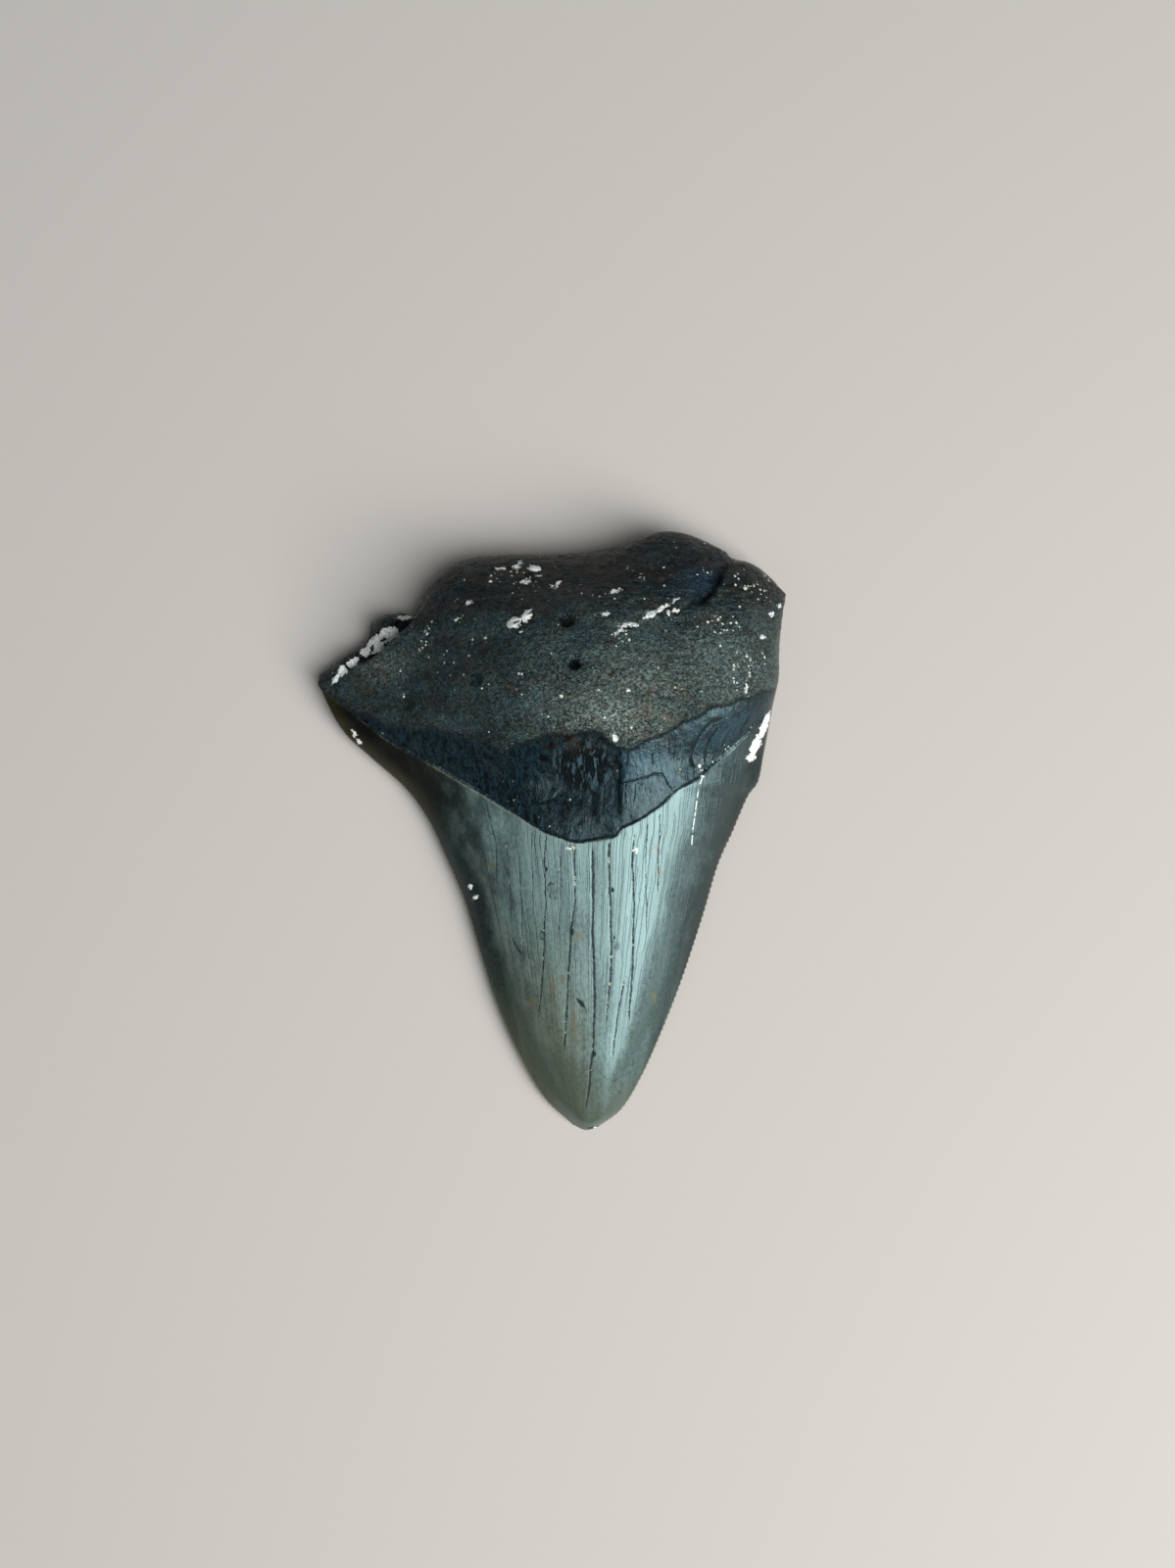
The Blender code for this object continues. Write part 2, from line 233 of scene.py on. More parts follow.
@dataclass(frozen=True)
class Rim:
    """The four rim curves, as points (x, y, height above the table)."""

    left: Points = (
        (2.9, -38.8, 1.6), (-1, -35, 1.8), (-4.5, -28.9, 2), (-7.4, -22, 2.1), (-9.5, -15.2, 2.2),
        (-11.4, -8.9, 2.3), (-13.8, -3.3, 2.4), (-16.2, 1.8, 2.6), (-19.3, 6.1, 2.8), (-24, 10.3, 3),
        (-27.6, 13.8, 3.2), (-30.7, 19.8, 3.6),
    )
    right: Points = (
        (6.2, -39.2, 1.6), (9.5, -36.6, 1.8), (12.4, -31.7, 2), (15.3, -25, 2.1), (17.6, -18.9, 2.2),
        (20.2, -11, 2.3), (22.2, -4.2, 2.5), (24.2, 0.4, 2.7), (26.1, 4.9, 3), (27.5, 7, 3.3),
        (28.2, 10.6, 3.7), (29.2, 16.2, 4.6), (29.9, 20.2, 5.5), (30, 25, 6), (30.8, 31.5, 6.2),
    )
    tip: Points = ((2.9, -38.8, 1.6), (4.6, -39.55, 1.6), (6.2, -39.2, 1.6))
    top: Points = (
        (-30.7, 19.8, 3.6), (-30.2, 21.4, 3.6), (-27, 23.7, 3.6), (-25.1, 24.9, 3.6), (-24, 26.3, 3.5),
        (-23.6, 28, 3.4), (-22.2, 28.9, 3.5), (-20, 29.2, 3.8), (-18.2, 29, 4.6), (-17, 30.2, 5.6),
        (-16.4, 31.6, 6.4), (-14.5, 33.9, 6.9), (-11.5, 35.8, 7), (-6.7, 36.6, 7), (0, 36.7, 7),
        (5.2, 37.1, 7), (9.9, 38.1, 7), (13.5, 39.4, 7), (16.7, 39.5, 7), (20.1, 38.3, 7),
        (22.7, 36.9, 6.9), (23.7, 36, 6.7), (26.3, 35.3, 6.6), (28.9, 33.4, 6.4), (30.8, 31.5, 6.2),
    )
    left_lobe_end: Numbers = (-34, 42, 4)
    right_lobe_end: Numbers = (31.5, 42, 6.2)
    length: float = 76

    def patch(self, u: Array, v: Array) -> Array:
        """Coons patch over the rim curves.

        Each point blends the left and right curves by u and the tip and top curves by v, less the blend
        of the four corners, so that the patch meets every rim curve.

        Args:
            u, v: places from left to right and from tip to root.

        Returns:
            Points (x, y, z).
        """
        left, right = smooth_curve(self.left, v), smooth_curve(self.right, v)
        tip, top = smooth_curve(self.tip, u), smooth_curve(self.top, u)
        u, v = u[..., None], v[..., None]
        low = (1 - u) * np.array(self.tip[0]) + u * np.array(self.tip[-1])
        high = (1 - u) * np.array(self.top[0]) + u * np.array(self.top[-1])
        return (1 - u) * left + u * right + (1 - v) * (tip - low) + v * (top - high)

    def across(self, x: Array, y: Array) -> tuple[Array, Array, Array]:
        """Where points lie between the side edges.

        Args:
            x, y: positions across and along.

        Returns:
            The place (-1 left edge, 1 right edge), the height of the straight line from edge to edge,
            and the distance between the edges.
        """
        left = smooth_curve(self.left + (self.left_lobe_end,), np.linspace(0, 1, 800))
        right = smooth_curve(self.right + (self.right_lobe_end,), np.linspace(0, 1, 800))
        left_x, right_x = np.interp(y, left[:, 1], left[:, 0]), np.interp(y, right[:, 1], right[:, 0])
        side = np.clip(2 * (x - left_x) / (right_x - left_x) - 1, -1, 1)
        low = np.interp(y, left[:, 1], left[:, 2])
        return side, low + (np.interp(y, right[:, 1], right[:, 2]) - low) * (side + 1) / 2, right_x - left_x

    def from_top(self, x: Array, y: Array) -> Array:
        """Distance in plan from the root's top rim."""
        chain = smooth_curve(self.top, np.linspace(0, 1, 120))[:, :2]
        return np.abs(path_offsets(x, y, tuple(map(tuple, chain.tolist())))[0])


@dataclass(frozen=True)
class LingualSizes:
    """Sizes of the lingual face: crest, swell of the root, ledges and the fracture of the left lobe."""

    crest: Points = (
        (-39.6, 2.6), (-37, 4.2), (-31, 6), (-22, 8), (-12, 9.8), (-2, 11.4), (6, 12.6),
        (13, 13.3), (24, 13.4), (40, 12.6),
    )
    swell_height: float = 5.6
    swell: Numbers = (3.4, 21.6, 13.5, 9)
    top_rounding: float = 9
    break_rounding: float = 2.5
    top_rounding_x: Numbers = (-18, -6)
    relief_fade: float = 0.5
    tip_rounding: float = 2.6
    break_edge: Points = (
        (-31, 19.2), (-26.7, 20.8), (-22.1, 23.5), (-18.2, 26.9), (-16.2, 29.6), (-14, 33.5),
    )
    break_width: float = 0.9
    break_end_x: Numbers = (-18, -15.5)
    ledge_height: float = 1.9
    ledge_rounding: float = 1.2
    knob: Numbers = (-21.6, 27.6, 1.6, 1.6)
    knob_height: float = 1.5
    root_margin: Points = (
        (-31, 19.4), (-26.6, 16.8), (-24.7, 15.7), (-17.6, 14), (-13.7, 13.1), (-8.6, 12.4), (-5.1, 11.3),
        (1.5, 13), (5.9, 12.7), (10.2, 10.8), (12.3, 12.1), (14.8, 13.1), (18.3, 15.2), (21.8, 16.3),
        (25.1, 17.6), (31, 20.2),
    )
    root_step: float = 0.6
    enamel_margin: Points = (
        (-31, 19.8), (-27.3, 17.2), (-22.5, 13.4), (-16.6, 9.8), (-11.4, 6.9), (-6.2, 3.9), (-2.6, 1.6),
        (-0.6, 0.5), (2, -0.4), (3.4, -0.8), (5.2, -0.76), (7.2, -0.34), (8.6, 0.1), (9.2, 0.95),
        (11.1, 1.76), (12.8, 2.75), (14.6, 4), (16, 5.4), (17.3, 6.3), (19.3, 7.4), (21.2, 9),
        (24, 11.5), (29.2, 16.4),
    )
    enamel_step: float = 0.3
    cavity: Numbers = (4.4, 8.9, 4.4, 3)
    cavity_depth: float = 0.8
    sink: Numbers = (1.5, 6.8, 7.5, 4)
    sink_depth: float = 1.3
    cavity_wall_x: float = 9.2
    terrace: Points = (
        (-31, 28.6), (-16, 29.2), (-6, 29.8), (2, 31), (12, 32.4), (20, 34.6), (31, 37),
    )
    terrace_drop: float = 0.55
    cleft: Points = ((23.9, 36.6), (22.2, 34.2), (21.6, 32.8), (20.75, 31.4), (19.7, 30.1), (18.5, 28.8))
    cleft_depth: float = 1.3
    scoop_width: float = 1.9
    foramina: Points = ((3.3, 21.4, 0.75), (2.3, 27, 0.8))
    foramen_depth: float = 2


@dataclass(frozen=True)
class LabialSizes:
    """Sizes of the labial face, which touches the table at the root and near the tip."""

    arch: Points = (
        (-39.6, 1.1), (-35, 0.25), (-30, 0), (-22, 0.35), (-8, 1), (2, 0.9), (9, 0.35),
        (14, 0), (20, 0), (40, 0),
    )
    change_y: Numbers = (3, 19)
    power: float = 3.2
    rounding: float = 5
    wall_rounding: float = 3.5
    enamel_margin: Points = (
        (-31, 19.6), (-24, 16.6), (-14, 13.6), (-5, 11.6), (3.5, 10.4), (11, 11.8), (20, 14.4),
        (29.2, 16.6),
    )


@dataclass(frozen=True)
class SkinGrid:
    """Steps of the fine grid: four rows to a serration, and three lingual columns to a labial one."""

    serrations: int = 95
    rows_per_serration: int = 4
    labial_columns: int = 62
    columns_ratio: int = 3
    crowding: float = 0.25
    serration_depth: float = 0.065
    groove_share: float = 0.10
    groove_reach: float = 0.28
    first_serration: float = 0.02
    seam: float = 0.15
    last_left: float = 0.66
    last_right: float = 0.74

    @property
    def rows(self) -> int:
        """Rows of cells from tip to root."""
        return self.serrations * self.rows_per_serration

    @property
    def columns(self) -> int:
        """Columns of cells of the lingual sheet."""
        return self.labial_columns * self.columns_ratio


@dataclass(frozen=True)
class Relief:
    """Heights of the fine relief, and the reach of what is kept off it."""

    lumps: float = 0.20
    fibres: float = 0.07
    pores: float = 0.22
    wrinkles: float = 0.05
    hollow_wrinkles: float = 0.16
    folds: float = 0.10
    swells: float = 0.05
    waves: float = 0.06
    fracture: float = 0.35
    crack_reach: float = 0.12
    bevel_at: float = 2.9
    bevel_width: float = 1.2
    bevel_depth: float = 0.22
    blade_reach: float = 0.9


@dataclass(frozen=True)
class Wear:
    """Cracks, chips, crusts, stains and pits of this tooth."""

    lines: tuple[Line, ...] = rows(
        Line,
        (((-0.4, 0.1), (-0.6, -3.4), (-0.5, -7.2), (-0.7, -14), (-1.15, -20.4), (-1.6, -25.1)), 0.08, 0.04),
        (((3.3, -0.9), (3.3, -8.1), (2.8, -12.3), (2.4, -17.5), (2.1, -24.7), (1.7, -30)), 0.10, 0.05),
        (
            ((5.6, -1.2), (5.6, -13.9), (5.7, -17.5), (5.8, -21.8), (5.7, -26.9), (5.46, -29.2),
             (5.1, -32.9), (4.7, -35.4), (4.4, -37), (4.5, -37.8)), 0.125, 0.06,
        ),
        (((7.7, -0.6), (7.7, -5.9), (8, -13.6), (7.9, -17.5), (7.6, -21.1), (7.2, -25.4)), 0.09, 0.05),
        (((9.6, -18.9), (9.1, -21.8), (8.2, -28.5), (8.2, -29.8)), 0.07, 0.03),
        (
            ((10.9, 0.4), (10.7, -3.4), (10.9, -9.8), (10.7, -17.5), (10.4, -22.2), (10.4, -26.7)),
            0.085, 0.04,
        ),
        (((14.1, 2.9), (14.1, -2.2), (14, -8)), 0.055, 0.03),
        (((-8.3, 4.5), (-7.7, 1.6), (-6.8, -1.3), (-6.9, -7.4)), 0.06, 0.03),
        (((-3.9, -2.2), (-3.6, -9.9), (-3.4, -19)), 0.06, 0.03),
        (((-4.9, -13.4), (-4.5, -14.5), (-3.6, -15.7)), 0.09, 0.04),
        (((-5.6, -0.5), (-5.2, -6), (-5, -12.5)), 0.05, 0.02),
        (((-2.3, 0.6), (-2.1, -6), (-2.2, -11)), 0.045, 0.02),
        (((1.6, -0.8), (1.5, -7), (1.2, -14)), 0.04, 0.02),
        (((12.5, 1.6), (12.4, -6), (12.6, -13)), 0.045, 0.02),
        (((-2.4, 4.2), (-1.1, 4.2), (0.7, 4.8), (1.4, 5.6)), 0.10, 0.12),
        (((8.8, 6.7), (11.3, 7.2), (12.5, 7.5), (13.3, 8), (14.5, 8), (15, 6.9), (16, 5.5)), 0.10, 0.12),
        (((8.8, 9.6), (9, 7.2), (8.9, 4.4), (8.7, 2.4)), 0.10, 0.08),
        (((7.1, 6.6), (7, 4.4), (6.7, 2.4)), 0.07, 0.05),
        (((9.7, 6.6), (9.8, 5.2), (9.6, 3.8)), 0.06, 0.05), (((11, 6.8), (11, 5.4), (10.7, 4)), 0.06, 0.05),
        (((10, 11.2), (10.1, 9.8), (9.8, 8.6)), 0.08, 0.06),
        (((13.1, 10.6), (13.2, 9.8), (13.3, 9)), 0.09, 0.06),
        (((15.3, 12.4), (15.3, 11.2), (15.2, 10.4)), 0.06, 0.05),
        (((16.1, 12.6), (16, 11.2), (16, 9.6)), 0.06, 0.05),
        (((18.3, 8.9), (18.2, 10.4), (18.7, 12), (19.5, 13.4), (20.6, 14.6), (22.4, 15.2)), 0.16, 0.12),
        (((20, 9.6), (20.2, 11.4), (20.7, 12.8), (21.6, 14)), 0.12, 0.1),
        (((22.2, 11.2), (22.6, 12.6), (23.4, 13.9)), 0.07, 0.06),
        (((24.4, 12.6), (24.9, 14), (25.8, 15.4)), 0.06, 0.05),
        (((20, 30.6), (19.3, 29.8), (18.2, 29.5), (17.4, 28.9), (16.5, 28.6)), 0.17, 0.3),
    )
    dents: tuple[Spot, ...] = rows(
        Spot, (-9.2, 19.6, 0.9, 0.8, 0, -0.35), (-18.3, 16.9, 1, 0.8, 0, -0.35),
        (-23, 21.3, 1.5, 0.7, -20, -0.35), (15.2, 21, 0.8, 0.7, 0, -0.3), (3.9, 1.9, 0.5, 0.5, 0, -0.15),
        (27.6, 6.8, 1, 0.7, 60, -0.25),
    )
    crown_marks: Marks = Marks(
        crusts=rows(
            Spot, (-25.9, 13.3, 0.5, 0.3, -58, 0.1), (-25.3, 12.3, 0.34, 0.26, -50, 0.1),
            (28, 14.2, 1.9, 0.5, 70, 0.2), (26.9, 11.7, 1.5, 0.6, 66, 0.2),
            (26.3, 10.1, 0.6, 0.5, 30, 0.15), (-10.6, -6.9, 0.32, 0.3, 0, 0.1),
            (-9.9, -8.3, 0.42, 0.2, 30, 0.1), (11.1, -1.9, 0.4, 0.36, 40, 0.1),
            (2.7, -1.5, 0.5, 0.14, 5, 0.05), (5.95, -39.1, 0.22, 0.16, 0, 0),
            (19.6, 7.6, 0.26, 0.22, 0, 0.05),
        ),
        gaps=rows(Spot, (11, -2, 0.1, 0.1), (28, 12.7, 0.5, 0.14, 20)),
        holes=rows(
            Spot, (4.05, -21.75, 0.85, 0.26, -53), (4.6, -22.6, 0.7, 0.08, -72),
            (5.6, -39.05, 0.75, 0.2, 0), (8.35, -13.1, 0.16, 0.26, 0), (5.7, -15.7, 0.24, 0.3, 0),
            (2.95, -12.4, 0.2, 0.45, 0), (4, 2, 0.3, 0.12, 20), (-0.4, -4.2, 0.2, 0.35, 0),
            (8.1, -6.9, 0.2, 0.35, 0), (5.75, -28.6, 0.24, 0.4, 0),
        ),
        rings=rows(
            Spot, (0.35, -7.1, 0.55, 1.05, 10), (8.7, -14.3, 0.32, 0.5, 0), (-0.95, -12.9, 0.35, 0.5, 0),
        ),
    )
    root_marks: Marks = Marks(
        crusts=rows(
            Spot, (-4.25, 26.75, 1, 0.68, 22, 0.25), (-2.7, 27.65, 0.85, 0.6, 45, 0.25),
            (-1.9, 34.2, 0.8, 0.42, -10, 0.15), (-4.2, 34.5, 0.5, 0.26, 0, 0.1),
            (-3.8, 35.1, 0.4, 0.2, 0, 0.1), (-6.1, 34.2, 0.6, 0.2, 0, 0.1),
            (-2.9, 32.3, 0.6, 0.25, -5, 0.08), (-1.3, 33.2, 0.35, 0.2, 5, 0.08),
            (1.1, 31.9, 0.5, 0.2, 60, 0.08), (0.4, 31.6, 0.3, 0.16, -50, 0.08),
            (-10, 29.6, 0.4, 0.22, 0, 0.08), (-11.5, 27.5, 0.35, 0.16, 10, 0.08),
            (8.4, 30.9, 0.7, 0.24, 20, 0.08), (7.2, 27.8, 0.45, 0.22, 10, 0.08),
            (12.7, 27.8, 0.75, 0.4, 20, 0.15), (14.3, 28.7, 0.95, 0.24, 33, 0.12),
            (16, 28.4, 0.4, 0.32, 0, 0.12), (15.9, 29.8, 0.5, 0.14, 40, 0.08),
            (10.2, 26.5, 1.3, 0.26, 6, 0.12), (8.8, 25.6, 0.75, 0.22, 50, 0.1),
            (-21.2, 26.2, 1.5, 0.85, 25, 0.2), (-22.9, 25, 1.3, 1.05, 48, 0.2),
            (-24.2, 24, 0.7, 0.6, 30, 0.15), (-25.9, 22.6, 0.9, 0.55, 42, 0.15),
            (-27.2, 21.6, 0.8, 0.6, 50, 0.15), (-28.2, 20.4, 0.7, 0.35, 55, 0.15),
            (-19, 28.5, 1, 0.28, 5, 0.2), (29.8, 29.7, 0.35, 0.3, 0, 0.1), (8.4, 12.4, 0.36, 0.52, 0, 0.15),
            (27.3, 25.4, 0.3, 0.22, 0, 0.05), (28.6, 28.4, 0.35, 0.3, 0, 0.1),
            (25, 18.8, 0.14, 0.55, 0, 0.08),
        ),
        gaps=rows(
            Spot, (-3.95, 26.85, 0.55, 0.13, 32), (-2.45, 27.95, 0.22, 0.13, 45),
            (-23.4, 24.4, 0.6, 0.2, 70), (-21.9, 25.6, 0.4, 0.18, 20), (-26.6, 21.9, 0.5, 0.16, -40),
        ),
        holes=rows(Spot, (3.3, 21.4, 0.66, 0.62), (18.3, 9.3, 0.7, 0.3, -60)),
        rings=rows(Spot, (2.3, 27, 0.8, 0.85, 0), (-9.2, 19.6, 0.75, 0.6, 10), (-18.3, 16.9, 0.8, 0.65, 0)),
    )
    filled_crack: Points = ((19.7, 7.6), (19.2, 6.3), (18.8, 3), (18.5, 0.7), (18.4, -1.6))
    stains: tuple[Spot, ...] = rows(
        Spot, (3.75, -12.9, 0.5, 0.55, 20), (-2.45, -21.9, 0.55, 0.5), (13.7, -1.8, 0.33, 0.75),
        (14.2, -4.8, 0.35, 0.6, 15), (13.7, -21.5, 0.24, 0.75, 10), (-7.6, -3.9, 0.4, 0.35),
        (1.6, -18.6, 0.3, 0.5), (3.2, -24.5, 0.22, 1.6), (0.3, -19.6, 0.2, 1.3), (3.2, -1.6, 0.12, 0.8),
    )
    rust: Points = (
        (12, 16, 6, 3.4, 0.6), (3.1, 11.9, 3.4, 1.2, 0.5), (4, 34.5, 9, 2, 0.18),
        (-23.3, 21, 2.2, 1.2, 0.6), (-19.6, 26, 1.8, 0.8, 0.5), (-9, 32.3, 7, 1.2, 0.2),
        (21, 16.6, 3, 0.7, 0.4),
    )
    dust: Points = (
        (8.5, 15, 7, 3.4, 0.9), (12, 19.5, 8, 3.5, 0.55), (22, 21, 7, 5, 0.45), (-21.5, 22, 3.5, 2.2, 0.5),
        (1, 17, 5, 5, 0.3),
    )
    specks_and_glints: Points = (
        (3, 22, 40, 30, 0.08), (21.6, 26.8, 2.2, 1.2, 0.95), (25.6, 21.9, 2.6, 1.4, 0.9),
        (9.1, 24.6, 1.4, 1.1, 0.95), (11.1, 32.8, 1, 0.6, 0.95), (20.4, 33.8, 2.6, 0.9, 0.7),
        (26.2, 31.7, 3.4, 2.4, 0.6), (-5, 33, 3.4, 1.6, 0.75), (-15.6, 26.3, 0.8, 1.9, 0.95),
        (-16.9, 23.9, 1.4, 0.6, 0.6), (6.5, 30.4, 1.8, 0.5, 0.85), (15.4, 28.4, 1.8, 0.9, 0.8),
        (-13.2, 21.8, 1, 1.2, 0.6), (-3.6, 20.4, 0.6, 1, 0.75), (24, 19.4, 2, 1, 0.55),
    )
    grit: Points = ((19.6, 8.8, 1.1, 0.9), (21.6, 9.6, 1.3, 0.8), (23.6, 11.2, 1.2, 0.7))


class ToothSkin:
    """The fine skin of the whole tooth, welded from its lingual and labial sheets."""

    node = "megalodon_tooth"
    piece_name = "tooth_skin"

    def __init__(self) -> None:
        """Take the tooth's own sizes."""
        self.rim = Rim()
        self.lingual = LingualSizes()
        self.labial = LabialSizes()
        self.grid = SkinGrid()
        self.relief = Relief()
        self.wear = Wear()

    def side_share(self, side: Array, y: Array) -> Array:
        """Share of the full height across the tooth.

        One less the power of the place between the edges: 3 on the right of the crown, less on the left and
        on the left lobe, and more on the right of the root, which is a broken wall.

        Args:
            side: place between the edges, from -1 to 1.
            y: positions along.

        Returns:
            1 in the middle and 0 at both edges.
        """
        wall = smooth_step(y, 9, 20) * smooth_step(side, -0.2, 0.4)
        lobe = (0.6 + 0.4 * smooth_step(y, -6, 6)) * smooth_step(side, 0.1, -0.5)
        thin = smooth_step(y, 0, -36)
        power = 3 + 4.5 * wall - 1.4 * lobe
        return np.clip(1 - np.abs(side) ** power, 0, 1) ** (1 + 0.35 * thin - 0.5 * wall)

    def margins(self, x: Array, y: Array) -> tuple[Array, Array]:
        """How far points lie up from the enamel's margin and from the root's margin on the lingual face.

        Both margins are profiles over x, frayed by small noise.

        Args:
            x, y: positions across and along.

        Returns:
            The distances along y above the enamel's margin and above the root's margin.
        """
        fray = layered_noise(plan(x, y * 0), (3, 1, 1), 11, 4)
        chip = layered_noise(plan(x, y), (2.2, 2.2, 1), 12)
        above_enamel = y - read_profile(self.lingual.enamel_margin, x) - 0.22 * fray
        above_root = y - read_profile(self.lingual.root_margin, x) - 0.5 * fray - 0.5 * chip
        return above_enamel, above_root

    def ledges(self, x: Array, y: Array) -> Array:
        """Ledges, hollow and cleft of the root and the bourlette, added to the lingual face.

        Steps are S-curves over the margins, the hollow is a Gaussian cut off by its right wall, and the
        cleft falls by an exponential from the upper left to its path and rises steeply beyond it.

        Args:
            x, y: positions across and along.

        Returns:
            Heights in millimetres.
        """
        sizes = self.lingual
        above_enamel, above_root = self.margins(x, y)
        noise = layered_noise(plan(x, y), (4, 2, 1), 14)
        step = sizes.root_step * (1 + 0.8 * mound(x, y, 21, 15.5, 6, 6)) * smooth_step(above_root, 0, 0.7)
        step += sizes.enamel_step * smooth_step(above_enamel, 0.28, 0)
        above_terrace = y - read_profile(sizes.terrace, x) - 0.7 * noise
        step -= sizes.terrace_drop * smooth_step(above_terrace, 0, 1.2)
        wall = smooth_step(x + 0.5 * noise, sizes.cavity_wall_x + 0.25, sizes.cavity_wall_x - 0.2)
        hollow = sizes.cavity_depth * mound(x, y, *sizes.cavity) * wall
        hollow += sizes.sink_depth * mound(x, y, *sizes.sink) * wall
        offset, gone = path_offsets(x, y, sizes.cleft)
        offset, from_end = offset + 0.35 * noise, np.minimum(1 - gone, 0.6)
        scoop = np.where(offset < 0, np.exp(offset / sizes.scoop_width), smooth_step(offset, 0.5, 0))
        cleft = sizes.cleft_depth * scoop * smooth_step(from_end, 0, 0.25)
        return step - hollow - cleft

    def lingual_sheet(self, u: Array, v: Array) -> Array:
        """Points of the lingual face.

        The height runs from the line between the edges to the crest by the side share, plus the swell and
        the ledges. It rounds down to the rim over the root's top, and falls to a ledge along the fracture.

        Args:
            u, v: places from left to right and from tip to root.

        Returns:
            Points (x, y, z).
        """
        sizes = self.lingual
        x, y, rim = np.moveaxis(self.rim.patch(u, v), -1, 0)
        side, low, _ = self.rim.across(x, y)
        share = self.side_share(side, y)
        swell = sizes.swell_height * mound(x, y, *sizes.swell) + self.ledges(x, y)
        face = low + (read_profile(sizes.crest, y) - low) * share + swell * rounded(share, sizes.relief_fade)
        from_top = self.rim.from_top(x, y)
        growth = smooth_step(x, *sizes.top_rounding_x)
        radius = sizes.break_rounding + (sizes.top_rounding - sizes.break_rounding) * growth
        whole = rim + (face - rim) * rounded(from_top, radius)
        ledge = rim + sizes.ledge_height + sizes.knob_height * mound(x, y, *sizes.knob)
        rough = layered_noise(plan(x, y), (1.6, 1.6, 1), 15)
        beyond = y - read_profile(sizes.break_edge, x) + 0.35 * rough
        inside = 1 - np.clip(beyond / sizes.break_width, 0, 1)
        facet = np.where(face > ledge, ledge + (face - ledge) * inside, face)
        facet = rim + (facet - rim) * rounded(from_top, sizes.ledge_rounding)
        height = facet + (whole - facet) * smooth_step(x, *sizes.break_end_x) - rim
        height = height * rounded(v * self.rim.length, sizes.tip_rounding)
        return np.stack([x, y, rim + height * self.grooves(x, y, v)], axis=-1)

    def labial_sheet(self, u: Array, v: Array) -> Array:
        """Points of the labial face, which sinks from the rim to the low arch over the table.

        Args:
            u, v: places from left to right and from tip to root.

        Returns:
            Points (x, y, z).
        """
        sizes = self.labial
        x, y, rim = np.moveaxis(self.rim.patch(u, v), -1, 0)
        side, low, _ = self.rim.across(x, y)
        crown = 1 - np.abs(side) ** sizes.power
        root = rounded((1 + side) * 30, sizes.rounding) * rounded((1 - side) * 30, sizes.wall_rounding)
        across = crown + (root - crown) * smooth_step(y, *sizes.change_y)
        face = low + (np.maximum(read_profile(sizes.arch, y), 0) - low) * across
        share = rounded(self.rim.from_top(x, y), sizes.rounding)
        share = share * rounded(v * self.rim.length, self.lingual.tip_rounding)
        return np.stack([x, y, rim + (face - rim) * share * self.grooves(x, y, v)], axis=-1)

    def saw_wave(self, v: Array, side: Array) -> Array:
        """Wave of the serrations along an edge, a cosine that fades at both ends of the saw.

        Args:
            v: places from tip to root.
            side: below 0 for the left edge.

        Returns:
            1 on a tooth of the saw, -1 in a gap, 0 past its ends.
        """
        wave = np.cos(math.tau * self.grid.serrations * v)
        last = np.where(side < 0, self.grid.last_left, self.grid.last_right)
        return wave * smooth_step(v, self.grid.first_serration, 0.05) * smooth_step(v, last, last - 0.15)

    def grooves(self, x: Array, y: Array, v: Array) -> Array:
        """Factor on the height over the rim that runs the saw's gaps a little way in from the edge.

        Args:
            x, y: positions across and along.
            v: places from tip to root.

        Returns:
            The factor, 1 away from the edge.
        """
        side, _, width = self.rim.across(x, y)
        edge = (1 - np.abs(side)) * width / 2
        return 1 + self.grid.groove_share * self.saw_wave(v, side) * np.exp(-edge / self.grid.groove_reach)

    def weld(self) -> tuple[Array, list[list[int]], Array]:
        """Both sheets as one closed mesh.

        The labial sheet has a third of the lingual columns, so that its first and last rows hold the
        lingual points between its own.

        Returns:
            The points, the faces, and the sheet of each point (1 lingual, 0 rim, -1 labial).
        """
        grid = self.grid
        steps = np.linspace(0, 1, grid.columns + 1)
        steps = steps - grid.crowding * np.sin(math.tau * steps) / math.tau
        heights = np.linspace(0, 1, grid.rows + 1)
        u, v = np.meshgrid(steps, heights)
        upper = self.lingual_sheet(u, v)
        for column, outward in ((0, -1), (-1, 1)):
            run = np.gradient(upper[:, column, :2], axis=0)
            normal = np.stack([run[:, 1], -run[:, 0]], axis=-1) * outward
            normal /= np.linalg.norm(normal, axis=1)[:, None]
            wave = self.saw_wave(heights, np.full(heights.shape, outward))
            upper[:, column, :2] += normal * (grid.serration_depth * wave)[:, None]
        ratio = grid.columns_ratio
        coarse_u, coarse_v = np.meshgrid(steps[::ratio], heights)
        lower = self.labial_sheet(coarse_u, coarse_v)[1:-1, 1:-1]
        top = np.arange(u.size).reshape(u.shape)
        under = top[:, ::ratio].copy()
        under[1:-1, 1:-1] = u.size + np.arange(lower[..., 0].size).reshape(lower.shape[:2])
        points = np.vstack([upper.reshape(-1, 3), lower.reshape(-1, 3)])
        quads = [np.stack([top[:-1, :-1], top[:-1, 1:], top[1:, 1:], top[1:, :-1]], axis=-1)]
        inner = under[1:-1]
        quads.append(np.stack([inner[:-1, :-1], inner[1:, :-1], inner[1:, 1:], inner[:-1, 1:]], axis=-1))
        faces = [face for block in quads for face in block.reshape(-1, 4).tolist()]
        for row, beyond in ((0, 1), (grid.rows, grid.rows - 1)):
            for column in range(grid.labial_columns):
                edge = top[row, column * ratio : column * ratio + ratio + 1].tolist()
                back = [int(under[beyond, column + 1]), int(under[beyond, column])]
                faces.append((edge + back)[:: -1 if row == 0 else 1])
        sheet = np.ones(len(points))
        sheet[top[0]] = sheet[top[-1]] = sheet[top[:, 0]] = sheet[top[:, -1]] = 0
        sheet[u.size :] = -1
        return points, faces, sheet

